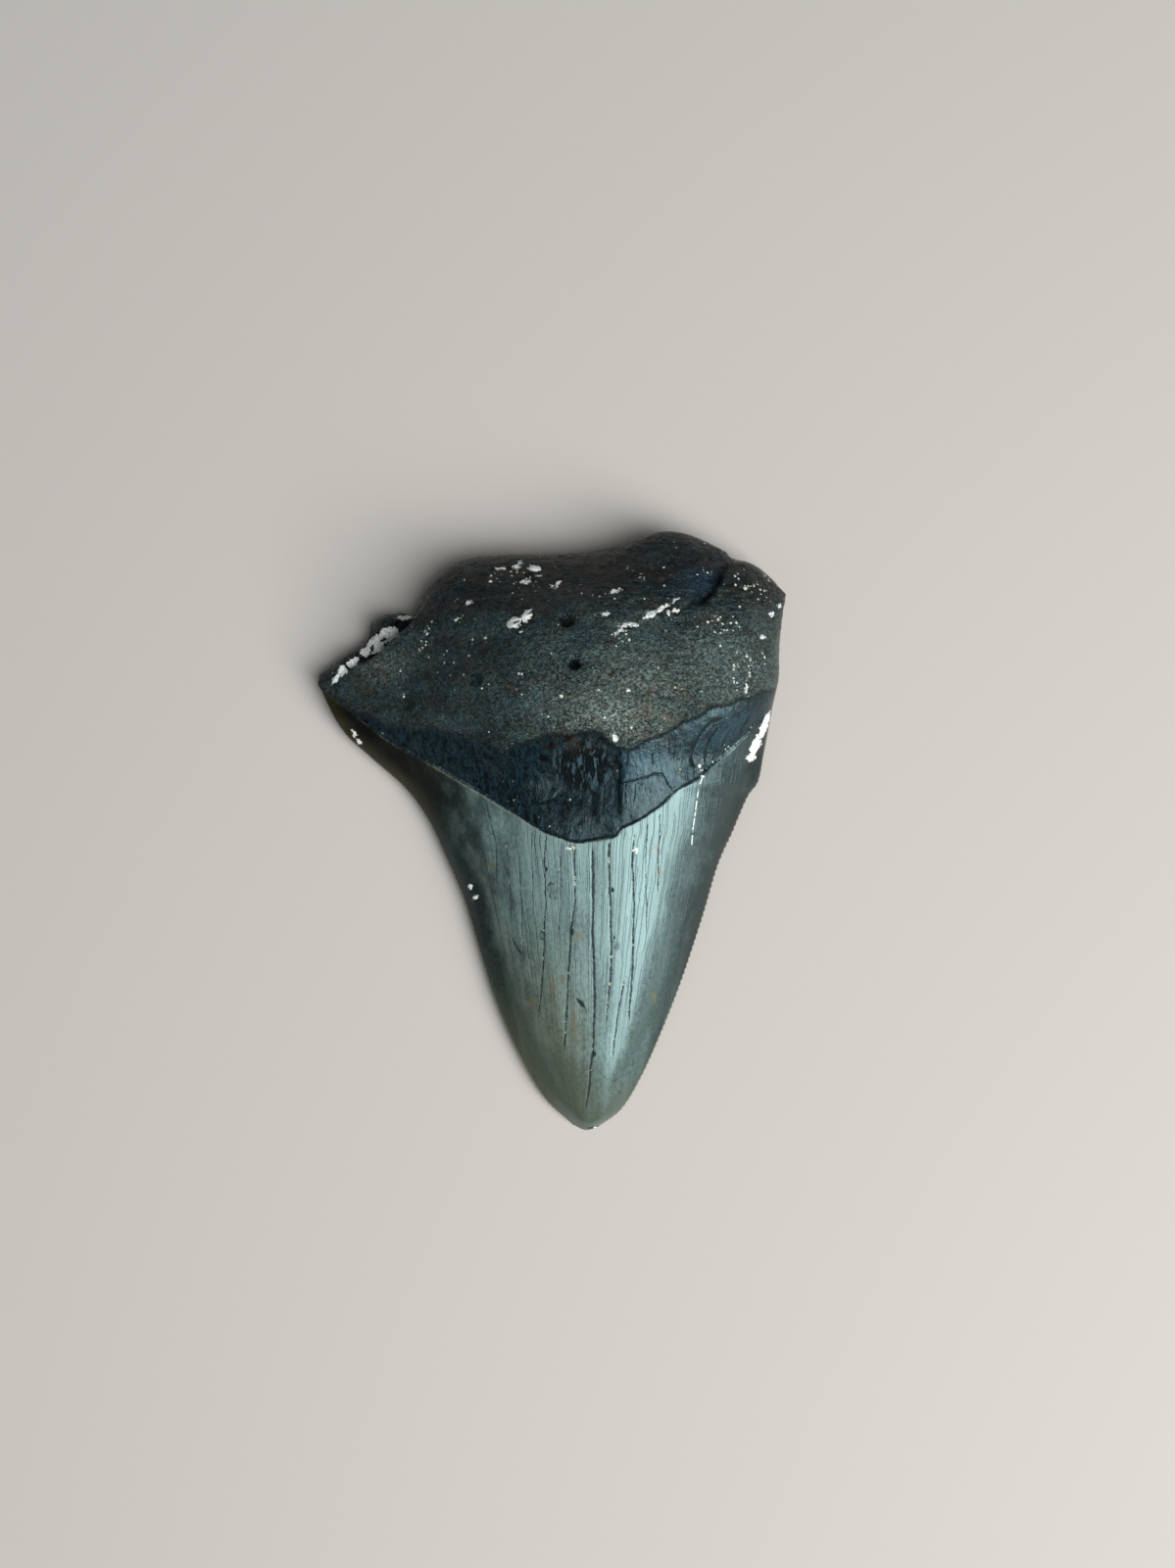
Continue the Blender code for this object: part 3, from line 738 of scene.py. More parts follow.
    @staticmethod
    def normals(points: Array, faces: list[list[int]]) -> Array:
        """Unit normals of the points: the sum of the normals of the faces around each.

        Args:
            points: the points.
            faces: the points of each face, of which the first four are read.

        Returns:
            The normals.
        """
        quads = np.array([face[:4] for face in faces])
        a, b, c, d = (points[quads[:, k]] for k in range(4))
        face_normals = np.cross(c - a, d - b)
        total = np.zeros(points.shape)
        for k in range(4):
            for axis in range(3):
                total[:, axis] += np.bincount(quads[:, k], face_normals[:, axis], len(points))
        return total / np.maximum(np.linalg.norm(total, axis=1), 1e-12)[:, None]

    def carve(self, points: Array, normals: Array, zones: Zones) -> Array:
        """Fine relief along the normals, from noise, lines, pits and crusts.

        Args:
            points: the smooth surface.
            normals: its unit normals.
            zones: the attributes of the points.

        Returns:
            The finished points.
        """
        sizes, x, y, upper = self.relief, points[:, 0], points[:, 1], zones["lingual"]
        enamel = smooth_step(zones["enamel_mm"], 0, 0.3)
        root = smooth_step(zones["root_mm"], -0.1, 0.5)
        bourlette = (1 - enamel) * (1 - root)
        relief = sizes.lumps * layered_noise(points, (7, 5, 5), 21)
        relief = relief + sizes.fibres * layered_noise(points, (1.5, 0.8, 1), 24)
        relief = relief + np.minimum(layered_noise(points, (0.9, 0.9, 0.9), 27, 2) + 0.25, 0) * sizes.pores
        relief = root * relief * np.where(upper > 0.5, 1, smooth_step(points[:, 2], 0.1, 1.5))
        wrinkled = sizes.wrinkles + sizes.hollow_wrinkles * mound(x, y, *self.lingual.cavity[:2], 5, 4.5)
        relief += bourlette * upper * wrinkled * layered_noise(points, (0.7, 5, 1.5), 31)
        relief += bourlette * upper * sizes.folds * layered_noise(points, (3, 3, 3), 33, 2)
        relief += enamel * sizes.swells * layered_noise(points, (2.4, 22, 3), 35, 2)
        relief += enamel * sizes.waves * layered_noise(points, (9, 14, 9), 37, 2)
        broken = sizes.fracture * smooth_step(zones["break_mm"], 0, 0.8)
        relief += broken * layered_noise(points, (1.8, 1.8, 1.8), 41)
        relief -= zones["line_depth"] * np.exp(-((zones["line_mm"] / sizes.crack_reach) ** 2)) * upper
        for dent in self.wear.dents:
            relief += upper * dent.height * smooth_step(dent.field(x, y), 0.15, -0.5)
        grain = 1 + 0.5 * layered_noise(points, (0.8, 0.8, 0.8), 43, 2)
        relief += zones["crust_height"] * smooth_step(zones["crust_mm"], 0.1, -0.25) * grain * upper
        for hole_x, hole_y, radius in self.lingual.foramina:
            hole = smooth_step(np.hypot(x - hole_x, y - hole_y), 1.1 * radius, 0.8 * radius)
            relief -= upper * self.lingual.foramen_depth * hole
        along = smooth_step(y, -38, -30) * smooth_step(y, 6, -4)
        bevel = np.exp(-(((zones["edge_mm"] - sizes.bevel_at) / sizes.bevel_width) ** 2))
        relief -= sizes.bevel_depth * along * upper * bevel
        keep = 1 - zones["blade"] * np.exp(-((zones["edge_mm"] / sizes.blade_reach) ** 2))
        return points + normals * (relief * keep)[:, None]

    def zones(self, points: Array, sheet: Array) -> Zones:
        """Attributes in millimetres that tell the finish where it is.

        Args:
            points: the smooth surface.
            sheet: 1 lingual, 0 rim, -1 labial.

        Returns:
            Names and values of the point attributes.
        """
        x, y = points[:, 0], points[:, 1]
        lingual, wear = self.lingual, self.wear
        upper = (sheet > -0.5).astype(float)
        side, _, width = self.rim.across(x, y)
        above_enamel, above_root = self.margins(x, y)
        fray = layered_noise(points, (1.5, 1.5, 50), 52)
        labial = y - read_profile(self.labial.enamel_margin, x) - 0.4 * fray
        past_break = np.clip(y - read_profile(lingual.break_edge, x), -3, 3) * (x < lingual.break_end_x[1])
        cleft = path_offsets(x, y, lingual.cleft)[0]
        hollow = mound(x, y, *lingual.cavity[:2], 4.6, 3.6) * (x < lingual.cavity_wall_x)
        # The bourlette's paler patches on the right, partly painted sheen.
        pale = np.maximum(mound(x, y, 12.4, 8.4, 4.2, 3.4), 0.8 * mound(x, y, 21.5, 14, 5, 2.6))
        zones = {
            "lingual": upper,
            "enamel_mm": np.where(upper > 0, -above_enamel, -labial),
            "root_mm": np.where(upper > 0, above_root, labial),
            "side": side,
            "edge_mm": (1 - np.abs(side)) * width / 2,
            "blade": np.where(side < 0, smooth_step(y, 19.8, 18), smooth_step(y, 16.6, 15.4)),
            "break_mm": np.where(upper > 0, past_break, -3),
            "cleft_mm": cleft,
            # The hollow and, more weakly, the sink below it, which the bourlette paints black as shade.
            "hollow": upper * np.maximum(hollow, 0.4 * mound(x, y, 3.4, 3.2, 4.6, 2.4)),
            "blue": upper * mound(x, y, 19.2, 32.2, 2.6, 2.2) * (cleft < 0),
            "pale": upper * pale * (x > lingual.cavity_wall_x - 0.3),
            "grain_mm": (x - 4.6) / np.interp(y, (-38, 0, 20), (0.45, 1, 1.15)),
            "tip_mm": y - points[:, 1].min(),
            **self.line_zones(x, y, upper),
            **self.crust_zones(x, y, upper),
        }
        zones["dusty"] = (zones["enamel_mm"] > 0).astype(float)
        for name, mounds in (("rust", wear.rust), ("dust", wear.dust), ("speck_and_glint", wear.specks_and_glints)):
            zones[name] = upper * np.max([m[4] * mound(x, y, *m[:4]) for m in mounds], axis=0)
        grit = upper * np.max([mound(x, y, *m) for m in wear.grit], axis=0)
        zones["speck_and_glint"] = np.maximum(zones["speck_and_glint"] * smooth_step(zones["root_mm"], -0.2, 0.3), grit)
        return zones

    def line_zones(self, x: Array, y: Array, upper: Array) -> Zones:
        """Offset from the nearest crack, its half width there (0 away from it) and its depth.

        Args:
            x, y: positions across and along.
            upper: 1 on the lingual face, 0 on the labial one.

        Returns:
            The three attributes.
        """
        offset, half, depth = np.full(x.shape, FAR), np.zeros(x.shape), np.zeros(x.shape)
        wander = layered_noise(plan(x * 0, y), (1, 1.8, 1), 61)
        for line in self.wear.lines:
            gap, share = path_offsets(x + 0.12 * wander, y, line.path)
            ends = smooth_step(share, 0, 0.02) * smooth_step(share, 1, 0.85)
            near = np.abs(gap) < np.abs(offset)
            offset = np.where(near, gap, offset)
            half = np.where(near, line.half_width * ends, half)
            depth = np.where(near, line.depth * ends, depth)
        away = smooth_step(np.abs(offset), 0.9, 0.5) * upper
        return {"line_mm": offset, "line_half": half * away, "line_depth": depth * away}

    def crust_zones(self, x: Array, y: Array, upper: Array) -> Zones:
        """Distance from the nearest crust's edge, its height there, and offset from the filled crack.

        Args:
            x, y: positions across and along.
            upper: 1 on the lingual face, 0 on the labial one.

        Returns:
            The three attributes.
        """
        ragged = 0.22 * layered_noise(plan(x, y), (0.9, 0.9, 1), 71)
        nearest, height = np.full(x.shape, FAR), np.zeros(x.shape)
        for spot in self.wear.crown_marks.crusts + self.wear.root_marks.crusts:
            gap = spot.field(x, y) + ragged
            nearer = gap < nearest
            nearest = np.where(nearer, gap, nearest)
            height = np.where(nearer, spot.height, height)
        fill, share = path_offsets(x, y, self.wear.filled_crack)
        fill = np.where((share > 0) & (share < 1) & (upper > 0), fill, FAR)
        return {"crust_mm": np.where(upper > 0, nearest, FAR), "crust_height": height, "fill_mm": fill}

    def build(self) -> bpy.types.Object:
        """Make the skin's mesh, with its attributes, and put it in place of the CAD solid.

        Returns:
            The piece, with no material yet.
        """
        points, faces, sheet = self.weld()
        normals = self.normals(points, faces)
        zones = self.zones(points, sheet)
        points = self.carve(points, normals, zones)
        mesh = bpy.data.meshes.new(self.piece_name)
        mesh.from_pydata((points * MM).tolist(), [], faces)
        for name, values in zones.items():
            layer = mesh.attributes.new(name, "FLOAT", "POINT")
            layer.data.foreach_set("value", values.astype(np.float32))
        enamel = zones["enamel_mm"] > -self.grid.seam
        mesh.polygons.foreach_set("material_index", [int(not enamel[face].any()) for face in faces])
        mesh.shade_smooth()
        mesh.update()
        piece = put_in_scene(self.piece_name, mesh)
        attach(piece, "root")
        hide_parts(self.node)
        LOG.info("%s: %d points, %d faces", self.piece_name, len(points), len(faces))
        return piece


def put_in_scene(name: str, data: bpy.types.ID) -> bpy.types.Object:
    """Put a new object in the scene.

    Args:
        name: the object's name.
        data: the mesh, lamp or camera that it shows.

    Returns:
        The object.
    """
    thing = bpy.data.objects.new(name, data)
    bpy.context.scene.collection.objects.link(thing)
    return thing


def srgb(*screen: float) -> Numbers:
    """Linear colour from screen values of 0 to 255."""
    linear = [v / 255 / 12.92 if v <= 10 else ((v / 255 + 0.055) / 1.055) ** 2.4 for v in screen]
    return (*linear, 1.0)


@dataclass(frozen=True)
class EnamelFinish:
    """Colours and gloss of the crown's enamel."""

    light: Numbers = srgb(125, 153, 149)
    dark: Numbers = srgb(70, 88, 86)
    grey: Numbers = srgb(132, 145, 130)
    umber: Numbers = srgb(78, 86, 74)
    # Near-black teal on both flanks: painted shade where the crown turns away from the light.
    flank_shade: Numbers = srgb(16, 26, 27)
    band: Numbers = srgb(60, 76, 70)
    tip: Numbers = srgb(78, 86, 70)
    # Near-black on the high left shoulder: painted shade where it faces away from the light, over its own
    # dark olive.
    shoulder_shade: Numbers = srgb(10, 11, 6)
    olive: Numbers = srgb(56, 53, 34)
    # Cream of the thin edge, and of the lip along the margin, which is partly a painted highlight.
    cream: Numbers = srgb(150, 150, 128)
    hairline: Numbers = srgb(26, 38, 40)
    crack: Numbers = srgb(3, 6, 8)
    stain: Numbers = srgb(106, 98, 68)
    reflection_tint: Numbers = (0.68, 0.97, 1.0, 1.0)
    # Specular tint where the reflections are darkened: painted shade.
    shaded_reflection_tint: Numbers = (0.03, 0.04, 0.04, 1.0)
    roughness: float = 0.30
    ior: float = 1.5
    reflection: float = 0.92


@dataclass(frozen=True)
class BourletteFinish:
    """Colours and gloss of the band between root and enamel."""

    light: Numbers = srgb(40, 68, 80)
    dark: Numbers = srgb(2, 6, 9)
    # Black of the dark flakes, and painted shade in the hollow.
    black_and_hollow_shade: Numbers = srgb(1, 2, 3)
    fibre: Numbers = srgb(78, 104, 116)
    roughness: float = 0.30


@dataclass(frozen=True)
class RootFinish:
    """Colours and gloss of the root."""

    light: Numbers = srgb(70, 91, 87)
    cool: Numbers = srgb(60, 86, 88)
    dark: Numbers = srgb(2, 5, 6)
    blue: Numbers = srgb(16, 42, 62)
    slate: Numbers = srgb(36, 62, 78)
    rust: Numbers = srgb(62, 46, 34)
    warm: Numbers = srgb(106, 90, 70)
    dust: Numbers = srgb(146, 160, 152)
    # White of the specks, which also stand in as painted glints.
    speck_and_glint: Numbers = srgb(246, 248, 236)
    tan: Numbers = srgb(176, 168, 132)
    fracture: Numbers = srgb(8, 11, 12)
    # Specular tint where the reflections are darkened: painted shade.
    shaded_reflection_tint: Numbers = (0.32, 0.46, 0.48, 1.0)
    grain_relief: float = 0.36
    lump_relief: float = 1.1
    roughness: float = 0.27
    ior: float = 1.5
    reflection: float = 0.5


@dataclass(frozen=True)
class CrustFinish:
    """Colours and gloss of the white crusts."""

    light: Numbers = srgb(250, 255, 254)
    dark: Numbers = srgb(226, 220, 192)
    roughness: float = 0.85


Socket = bpy.types.NodeSocket


@dataclass(frozen=True)
class Layer:
    """One layer of a finish: its colour, its roughness and its relief in millimetres."""

    colour: object
    rough: object
    relief: object


class Nodes:
    """Short calls that add nodes to a material's tree and return their output sockets."""

    def __init__(self, material: bpy.types.Material) -> None:
        """Start on a material's emptied tree."""
        self.tree = material.node_tree
        self.tree.nodes.clear()

    def node(
        self, kind: str, values: dict[int | str, object] | None = None, **settings: object
    ) -> bpy.types.Node:
        """A new shader node.

        Args:
            kind: its type, without the first word that all of them share.
            values: sockets to link to its inputs, or constants to set on them.
            settings: its other settings.

        Returns:
            The node.
        """
        node = self.tree.nodes.new("ShaderNode" + kind)
        for name, setting in settings.items():
            setattr(node, name, setting)
        for name, value in (values or {}).items():
            if isinstance(value, Socket):
                self.tree.links.new(value, node.inputs[name])
            else:
                node.inputs[name].default_value = value
        return node

    def at(self, name: str) -> Socket:
        """Value of a point attribute."""
        return self.node("Attribute", attribute_name=name).outputs["Fac"]

    def math(self, kind: str, a: object, b: object = 0.0, clamp: bool = False) -> Socket:
        """One operation on two values."""
        return self.node("Math", {0: a, 1: b}, operation=kind, use_clamp=clamp).outputs[0]

    def add(self, a: object, b: object, clamp: bool = False) -> Socket:
        """The two values together, held between 0 and 1 if clamp says so."""
        return self.math("ADD", a, b, clamp)

    def less(self, a: object, b: object) -> Socket:
        """Value a less value b."""
        return self.math("SUBTRACT", a, b)

    def size(self, a: object) -> Socket:
        """Value a without its sign."""
        return self.math("ABSOLUTE", a)

    def times(self, *values: object) -> Socket:
        """Product of several values."""
        return functools.reduce(lambda a, b: self.math("MULTIPLY", a, b), values)

    def most(self, *values: object) -> Socket:
        """Largest of several values."""
        return functools.reduce(lambda a, b: self.math("MAXIMUM", a, b), values)

    def ramp(
        self, value: object, low: float, high: float, out_low: float = 0, out_high: float = 1
    ) -> Socket:
        """S-curve from one number to another, level beyond both ends.

        Args:
            value: what it is read at.
            low, high: its ends, either of which may be the larger.
            out_low, out_high: the numbers it gives there.

        Returns:
            The number at the value.
        """
        if low > high:
            low, high, out_low, out_high = high, low, out_high, out_low
        values = dict(enumerate((value, low, high, out_low, out_high)))
        return self.node("MapRange", values, interpolation_type="SMOOTHSTEP").outputs[0]

    def gloss(self, grain: Socket, roughness: float) -> Socket:
        """Roughness that wavers a little with a grain."""
        return self.ramp(grain, 0.3, 0.7, roughness - 0.06, roughness + 0.08)

    def mix(self, share: object, a: object, b: object) -> Socket:
        """Colour a, or b where share is 1."""
        return self.node("Mix", {0: share, 6: a, 7: b}, data_type="RGBA").outputs[2]

    def paint(self, colour: object, *coats: tuple[object, object]) -> object:
        """A colour under several coats, each of which is a share and a colour."""
        return functools.reduce(lambda under, coat: self.mix(coat[0], under, coat[1]), coats, colour)

    def blend(self, share: object, a: object, b: object) -> Socket:
        """Number a, or b where share is 1."""
        return self.node("Mix", {0: share, 2: a, 3: b}).outputs[0]

    def cover(self, share: object, under: Layer, over: Layer) -> Layer:
        """The layer under, covered by the layer over where share is 1."""
        return Layer(
            self.mix(share, under.colour, over.colour),
            self.blend(share, under.rough, over.rough),
            self.blend(share, under.relief, over.relief),
        )

    def join(self, x: object, y: object, z: object = 0.0) -> Socket:
        """A vector of three values."""
        return self.node("CombineXYZ", {0: x, 1: y, 2: z}).outputs[0]

    def whole(self) -> Socket:
        """Object coordinates in metres."""
        return self.node("TexCoord").outputs["Object"]

    def split(self) -> bpy.types.bpy_prop_collection:
        """Object coordinates x, y and z in metres, as three sockets."""
        return self.node("SeparateXYZ", {0: self.whole()}).outputs

    def scaled(self, place: Socket, scale: Numbers, shift: float = 0.0) -> Socket:
        """A place times a scale, plus a shift.

        Args:
            place: a place in metres.
            scale: units to the millimetre along x, y and z.
            shift: units added along each of them.

        Returns:
            The place in units.
        """
        per_metre = tuple(number / MM for number in scale)
        values = {"Vector": place, "Location": (shift,) * 3, "Scale": per_metre}
        return self.node("Mapping", values).outputs[0]

    def noise(self, place: Socket, detail: float = 3, roughness: float = 0.55, twist: float = 0) -> Socket:
        """Noise of about one grain to a unit of the place."""
        values = {"Scale": 1, "Detail": detail, "Roughness": roughness, "Distortion": twist, "Vector": place}
        return self.node("TexNoise", values).outputs[0]

    def grains(self, scale: Numbers, *look: float, x: Socket | None = None) -> Socket:
        """Noise of so many grains to a millimetre, over the tooth or with x in the place of its own x."""
        place = self.whole() if x is None else self.join(self.times(x, MM), *self.split()[1:3])
        return self.noise(self.scaled(place, scale), *look)

    def cells(self, place: Socket, socket: str = "Vector", **settings: object) -> bpy.types.Node:
        """Voronoi cells of about one to a unit of the place."""
        return self.node("TexVoronoi", {"Scale": 1, socket: place}, **settings)

    def warped(self, density: float, reach: float, height: bool = False) -> Socket:
        """Object coordinates pushed about in plan by noise.

        Args:
            density: grains of the noise to a millimetre.
            reach: about how far a point is pushed, in millimetres.
            height: keep the point's own height, which is otherwise 0.

        Returns:
            The pushed place.
        """
        own, whole = self.split(), self.whole()
        pushed = []
        for axis in range(2):
            push = self.less(self.noise(self.scaled(whole, (density,) * 3, 9.7 * axis)), 0.5)
            pushed.append(self.add(own[axis], self.times(push, 4 * reach * MM)))
        return self.join(*pushed, own[2] if height else 0.0)

    def ovals(self, spots: tuple[Spot, ...], place: Socket) -> Socket:
        """Distance in millimetres from the edge of the nearest oval, below 0 inside it.

        Args:
            spots: the ovals.
            place: the place that they are read at.

        Returns:
            The distance.
        """
        nearest = None
        for spot in spots:
            values = {
                "Vector": place,
                "Location": (spot.x * MM, spot.y * MM, 0),
                "Rotation": (0, 0, math.radians(spot.turn)),
                "Scale": (spot.half_length * MM, spot.half_width * MM, 1),
            }
            turned = self.node("Mapping", values, vector_type="TEXTURE").outputs[0]
            reach = self.node("VectorMath", {0: turned}, operation="LENGTH")
            thin = min(spot.half_length, spot.half_width)
            gap = self.times(self.less(reach.outputs["Value"], 1), thin)
            nearest = gap if nearest is None else self.math("MINIMUM", nearest, gap)
        return nearest

    def dots(self, density: float, radius: float, share: object) -> Socket:
        """Mask of small irregular dots strewn over the surface.

        Args:
            density: cells to a millimetre, each of which may hold a dot.
            radius: radius of a middling dot in millimetres.
            share: share of the cells that hold a dot.

        Returns:
            1 on a dot, 0 beside it.
        """
        cells = self.cells(self.scaled(self.warped(density * 3, 0.9 * radius, True), (density,) * 3))
        parts = self.node("SeparateColor", {0: cells.outputs["Color"]})
        size = self.ramp(parts.outputs[1], 0, 1, 0.4 * radius * density, 1.6 * radius * density)
        inside = self.ramp(self.less(size, cells.outputs["Distance"]), -0.03, 0.03)
        return self.times(inside, self.math("LESS_THAN", parts.outputs[0], share))

    def strands(self, grain: Socket, density: float, half_width: float, bar: float) -> Socket:
        """Mask of long thin lines along a grain.

        The grain is cut into one-way cells with a line at each cell's own point, and each line shows only
        where a noise of its own along the tooth is above the bar.

        Args:
            grain: millimetres across the grain.
            density: lines to a millimetre of grain.
            half_width: half the width of a line in millimetres of grain.
            bar: how rarely a line shows, around 0.5.

        Returns:
            1 on a line, 0 beside it.
        """
        wander = self.ramp(self.grains((0, 0.22, 0), 4, 0.6), 0.2, 0.8, -0.25, 0.25)
        cells = self.cells(self.add(self.times(grain, density), wander), "W", voronoi_dimensions="1D")
        line = self.ramp(cells.outputs["Distance"], half_width * density * 1.8, half_width * density * 0.6)
        own = self.times(cells.outputs["W"], 7.31)
        shown = self.noise(self.join(own, self.times(self.split()[1], 0.07 / MM)), 2)
        return self.times(line, self.ramp(shown, bar, bar + 0.04))


class Part(Enum):
    """The parts of the tooth that have a material of their own; the value is the material's name."""

    CROWN = "fossil_enamel"
    BASE = "fossil_root"


class FossilFinish:
    """The procedural finish of the tooth, with enamel, bourlette, root and crusts in their zones."""

    def __init__(self) -> None:
        """Take the finishes of the zones."""
        self.enamel = EnamelFinish()
        self.bourlette = BourletteFinish()
        self.root = RootFinish()
        self.crust = CrustFinish()
        self.wear = Wear()

    def enamel_layer(self, n: Nodes) -> Layer:
        """Streaks, hairlines, bevel band, warmer tip and dark shoulder of the enamel, with painted shade on
        the flanks and the shoulder.

        Args:
            n: the node calls.

        Returns:
            The layer.
        """
        look, grain, edge, height = self.enamel, n.at("grain_mm"), n.at("edge_mm"), n.at("tip_mm")
        streaks = n.grains((0.5, 0.03, 0.05), 5, 0.6, x=grain)
        fine = n.grains((3, 1.6, 2), 4, 0.7)
        mottle = n.grains((0.22, 0.14, 0.2), 4, 0.6)
        tone = n.add(n.ramp(streaks, 0.38, 0.62, 0.05, 0.45), n.ramp(fine, 0.35, 0.65, 0, 0.4))
        tone = n.add(tone, n.ramp(mottle, 0.35, 0.65, 0, 0.35))
        tone = n.add(tone, n.ramp(height, 36, 16, 0, -0.22), True)
        side = n.add(n.at("side"), n.ramp(mottle, 0.3, 0.7, -0.12, 0.12))
        faded = n.times(n.ramp(height, 34, 12), n.ramp(side, 0.35, -0.35))
        colour = n.mix(tone, n.mix(faded, look.dark, look.umber), n.mix(faded, look.light, look.grey))
        # Both flanks darkened towards their edges, more so higher up: painted shade where the crown turns
        # away from the light.
        left = n.times(n.ramp(side, -0.45, -0.88), n.ramp(height, 4, 30, 0.25, 0.9))
        right = n.times(n.ramp(side, 0.5, 0.95), n.ramp(height, 4, 30, 0.5, 0.92))
        cloudy = n.ramp(mottle, 0.3, 0.7, -0.9, 0.9)
        band = n.ramp(n.size(n.less(n.add(edge, cloudy), 2.7)), 1.5, 0.4)
        band = n.times(band, n.ramp(height, 28, 16), n.ramp(side, 0.5, -0.3, 0.6, 1), 0.75)
        low = n.ramp(n.add(height, n.ramp(side, -0.8, 0.6, -8, 0)), 13, 0, 0, 0.8)
        upland = n.add(height, n.ramp(side, -0.9, 0.9, 10, -14))
        worn = n.times(n.ramp(edge, 3, 0.2, 0, 0.7), n.ramp(upland, 46, 56))
        hairlines = n.most(n.strands(grain, 1.1, 0.044, 0.44), n.strands(grain, 2.3, 0.030, 0.47))
        hairlines = n.times(hairlines, n.ramp(edge, 1.6, 3.6), n.ramp(height, 10, 26, 0.15, 1))
        hairlines = n.times(hairlines, n.ramp(upland, 50, 42))
        stain = n.ramp(n.ovals(self.wear.stains, n.warped(1.5, 0.12)), 0.22, -0.15)
        # A cream lip along the enamel's margin, strongest on the left: partly painted highlight where the
        # edge catches the light, partly white sediment.
        lip = n.times(n.ramp(n.at("enamel_mm"), 0.45, 0.15), n.ramp(side, 0.2, 0, 0.1, 0.45))
        lip = n.times(lip, n.ramp(side, -0.9, -0.6, 0.1, 1), n.ramp(fine, 0.40, 0.58, 0.3, 1))
        thin = n.times(n.ramp(edge, 0.22, 0.05), n.ramp(height, 22, 8, 0.2, 0.8))
        colour = n.paint(
            colour, (n.add(left, right, True), look.flank_shade), (band, look.band), (low, look.tip),
            # Past an upland of about 47 mm the shoulder goes near-black: painted shade over its own dark
            # olive.
            (n.ramp(upland, 47, 58, 0, 0.95), look.shoulder_shade), (worn, look.olive),
            (n.times(hairlines, 0.9), look.hairline), (n.times(n.dots(0.9, 0.10, 0.25), 0.6), look.hairline),
            (n.times(stain, 0.8), look.stain), (lip, look.cream), (thin, look.cream),
        )
        satin = n.times(n.grains((2.4, 0.2, 0.6), 3, 0.6, x=grain), 0.02)
        relief = n.less(satin, n.times(hairlines, 0.02))
        return Layer(colour, n.gloss(fine, look.roughness), relief)

    def bourlette_layer(self, n: Nodes) -> Layer:
        """Dark blue-grey, paler on the right, with a fibrous hollow in the middle that is painted black as
        shade.

        Args:
            n: the node calls.

        Returns:
            The layer.
        """
        look, hollow = self.bourlette, n.at("hollow")
        wrinkles = n.grains((2.2, 1, 1.4), 3, 0.65, 1.4)
        # Lighter where the pale attribute is high: partly the bourlette's own paler patch, partly a painted
        # sheen.
        pale = n.times(n.at("pale"), n.ramp(n.grains((0.35, 0.3, 0.3)), 0.35, 0.6, 0.3, 1))
        tone = n.add(n.ramp(wrinkles, 0.44, 0.60, 0.05, 0.45), pale, True)
        # Black where the hollow's mask is high: painted shade in the hollow and, more weakly, in the sink
        # below it.
        ragged = n.add(hollow, n.ramp(n.grains((0.7, 0.5, 0.6), 4), 0.3, 0.7, -0.3, 0.3))
        fibres = n.ramp(n.grains((2.2, 0.5, 0.8), 3, 0.6, 0.9), 0.54, 0.62)
        flakes = n.ramp(n.grains((2.6, 0.8, 1.4), 3, 0.7, 1.6), 0.40, 0.34)
        rust = n.times(n.at("rust"), n.ramp(n.grains((0.9, 0.7, 0.9)), 0.45, 0.6))
        colour = n.paint(
            n.mix(tone, look.dark, look.light), (n.ramp(ragged, 0.30, 0.50), look.black_and_hollow_shade),
            (n.times(fibres, n.ramp(hollow, 0.3, 0.7, 0, 0.8)), look.fibre),
            (n.times(flakes, 0.6), look.black_and_hollow_shade), (rust, self.root.rust),
        )
        relief = n.times(wrinkles, n.ramp(hollow, 0.3, 0.7, 0.08, 0.6))
        relief = n.add(relief, n.times(n.grains((0.5, 0.3, 0.4), 4), 0.34))
        return Layer(colour, n.ramp(hollow, 0.2, 0.6, look.roughness, 0.6), relief)

    def root_layer(self, n: Nodes) -> Layer:
        """Near-black felt of fibres and pores, brown mottling and clusters of pale specks, with painted
        shade in the felt's low parts, the pores, the cleft and towards the top rim.

        Args:
            n: the node calls.

        Returns:
            The layer.
        """
        look, side, height = self.root, n.at("side"), n.at("tip_mm")
        worms = n.grains((2.3, 3, 2.6), 2, 0.6, 0.9)
        fibres = n.grains((0.35, 1.9, 1.2), 4, 0.68, 0.6)
        felt = n.blend(n.ramp(height, 65, 70, 0, 0.7), worms, fibres)
        bare = n.ramp(n.at("crust_mm"), -0.1, 0.35, 0.1, 1)
        lumps = n.times(n.grains((0.35, 0.6, 0.5), 4, 0.6), look.lump_relief)
        relief = n.add(n.times(felt, bare, look.grain_relief), lumps)
        clouds = n.ramp(n.grains((0.16, 0.28, 0.2), 4), 0.38, 0.62, -0.25, 0.25)
        # Lighter on the raised felt and darker in its low parts: partly painted shade in the relief's
        # hollows.
        tone = n.add(n.ramp(felt, 0.44, 0.62, 0, 0.7), clouds)
        tone = n.add(tone, n.ramp(side, -0.4, 0.6, -0.05, 0.3))
        # Darker towards the root's top rim: painted shade where the top rounds away from the light.
        tone = n.add(tone, n.ramp(height, 64, 73, 0, -0.8), True)
        pale = n.mix(n.ramp(side, -0.4, 0.3), look.cool, look.light)
        mottle = n.grains((0.35, 0.5, 0.4), 6, 0.72)
        grit = n.ramp(n.grains((2.8, 3.2, 2.8), 3, 0.7), 0.38, 0.62)
        warm = n.ramp(n.grains((0.4, 0.6, 0.5), 4, 0.65), 0.46, 0.60)
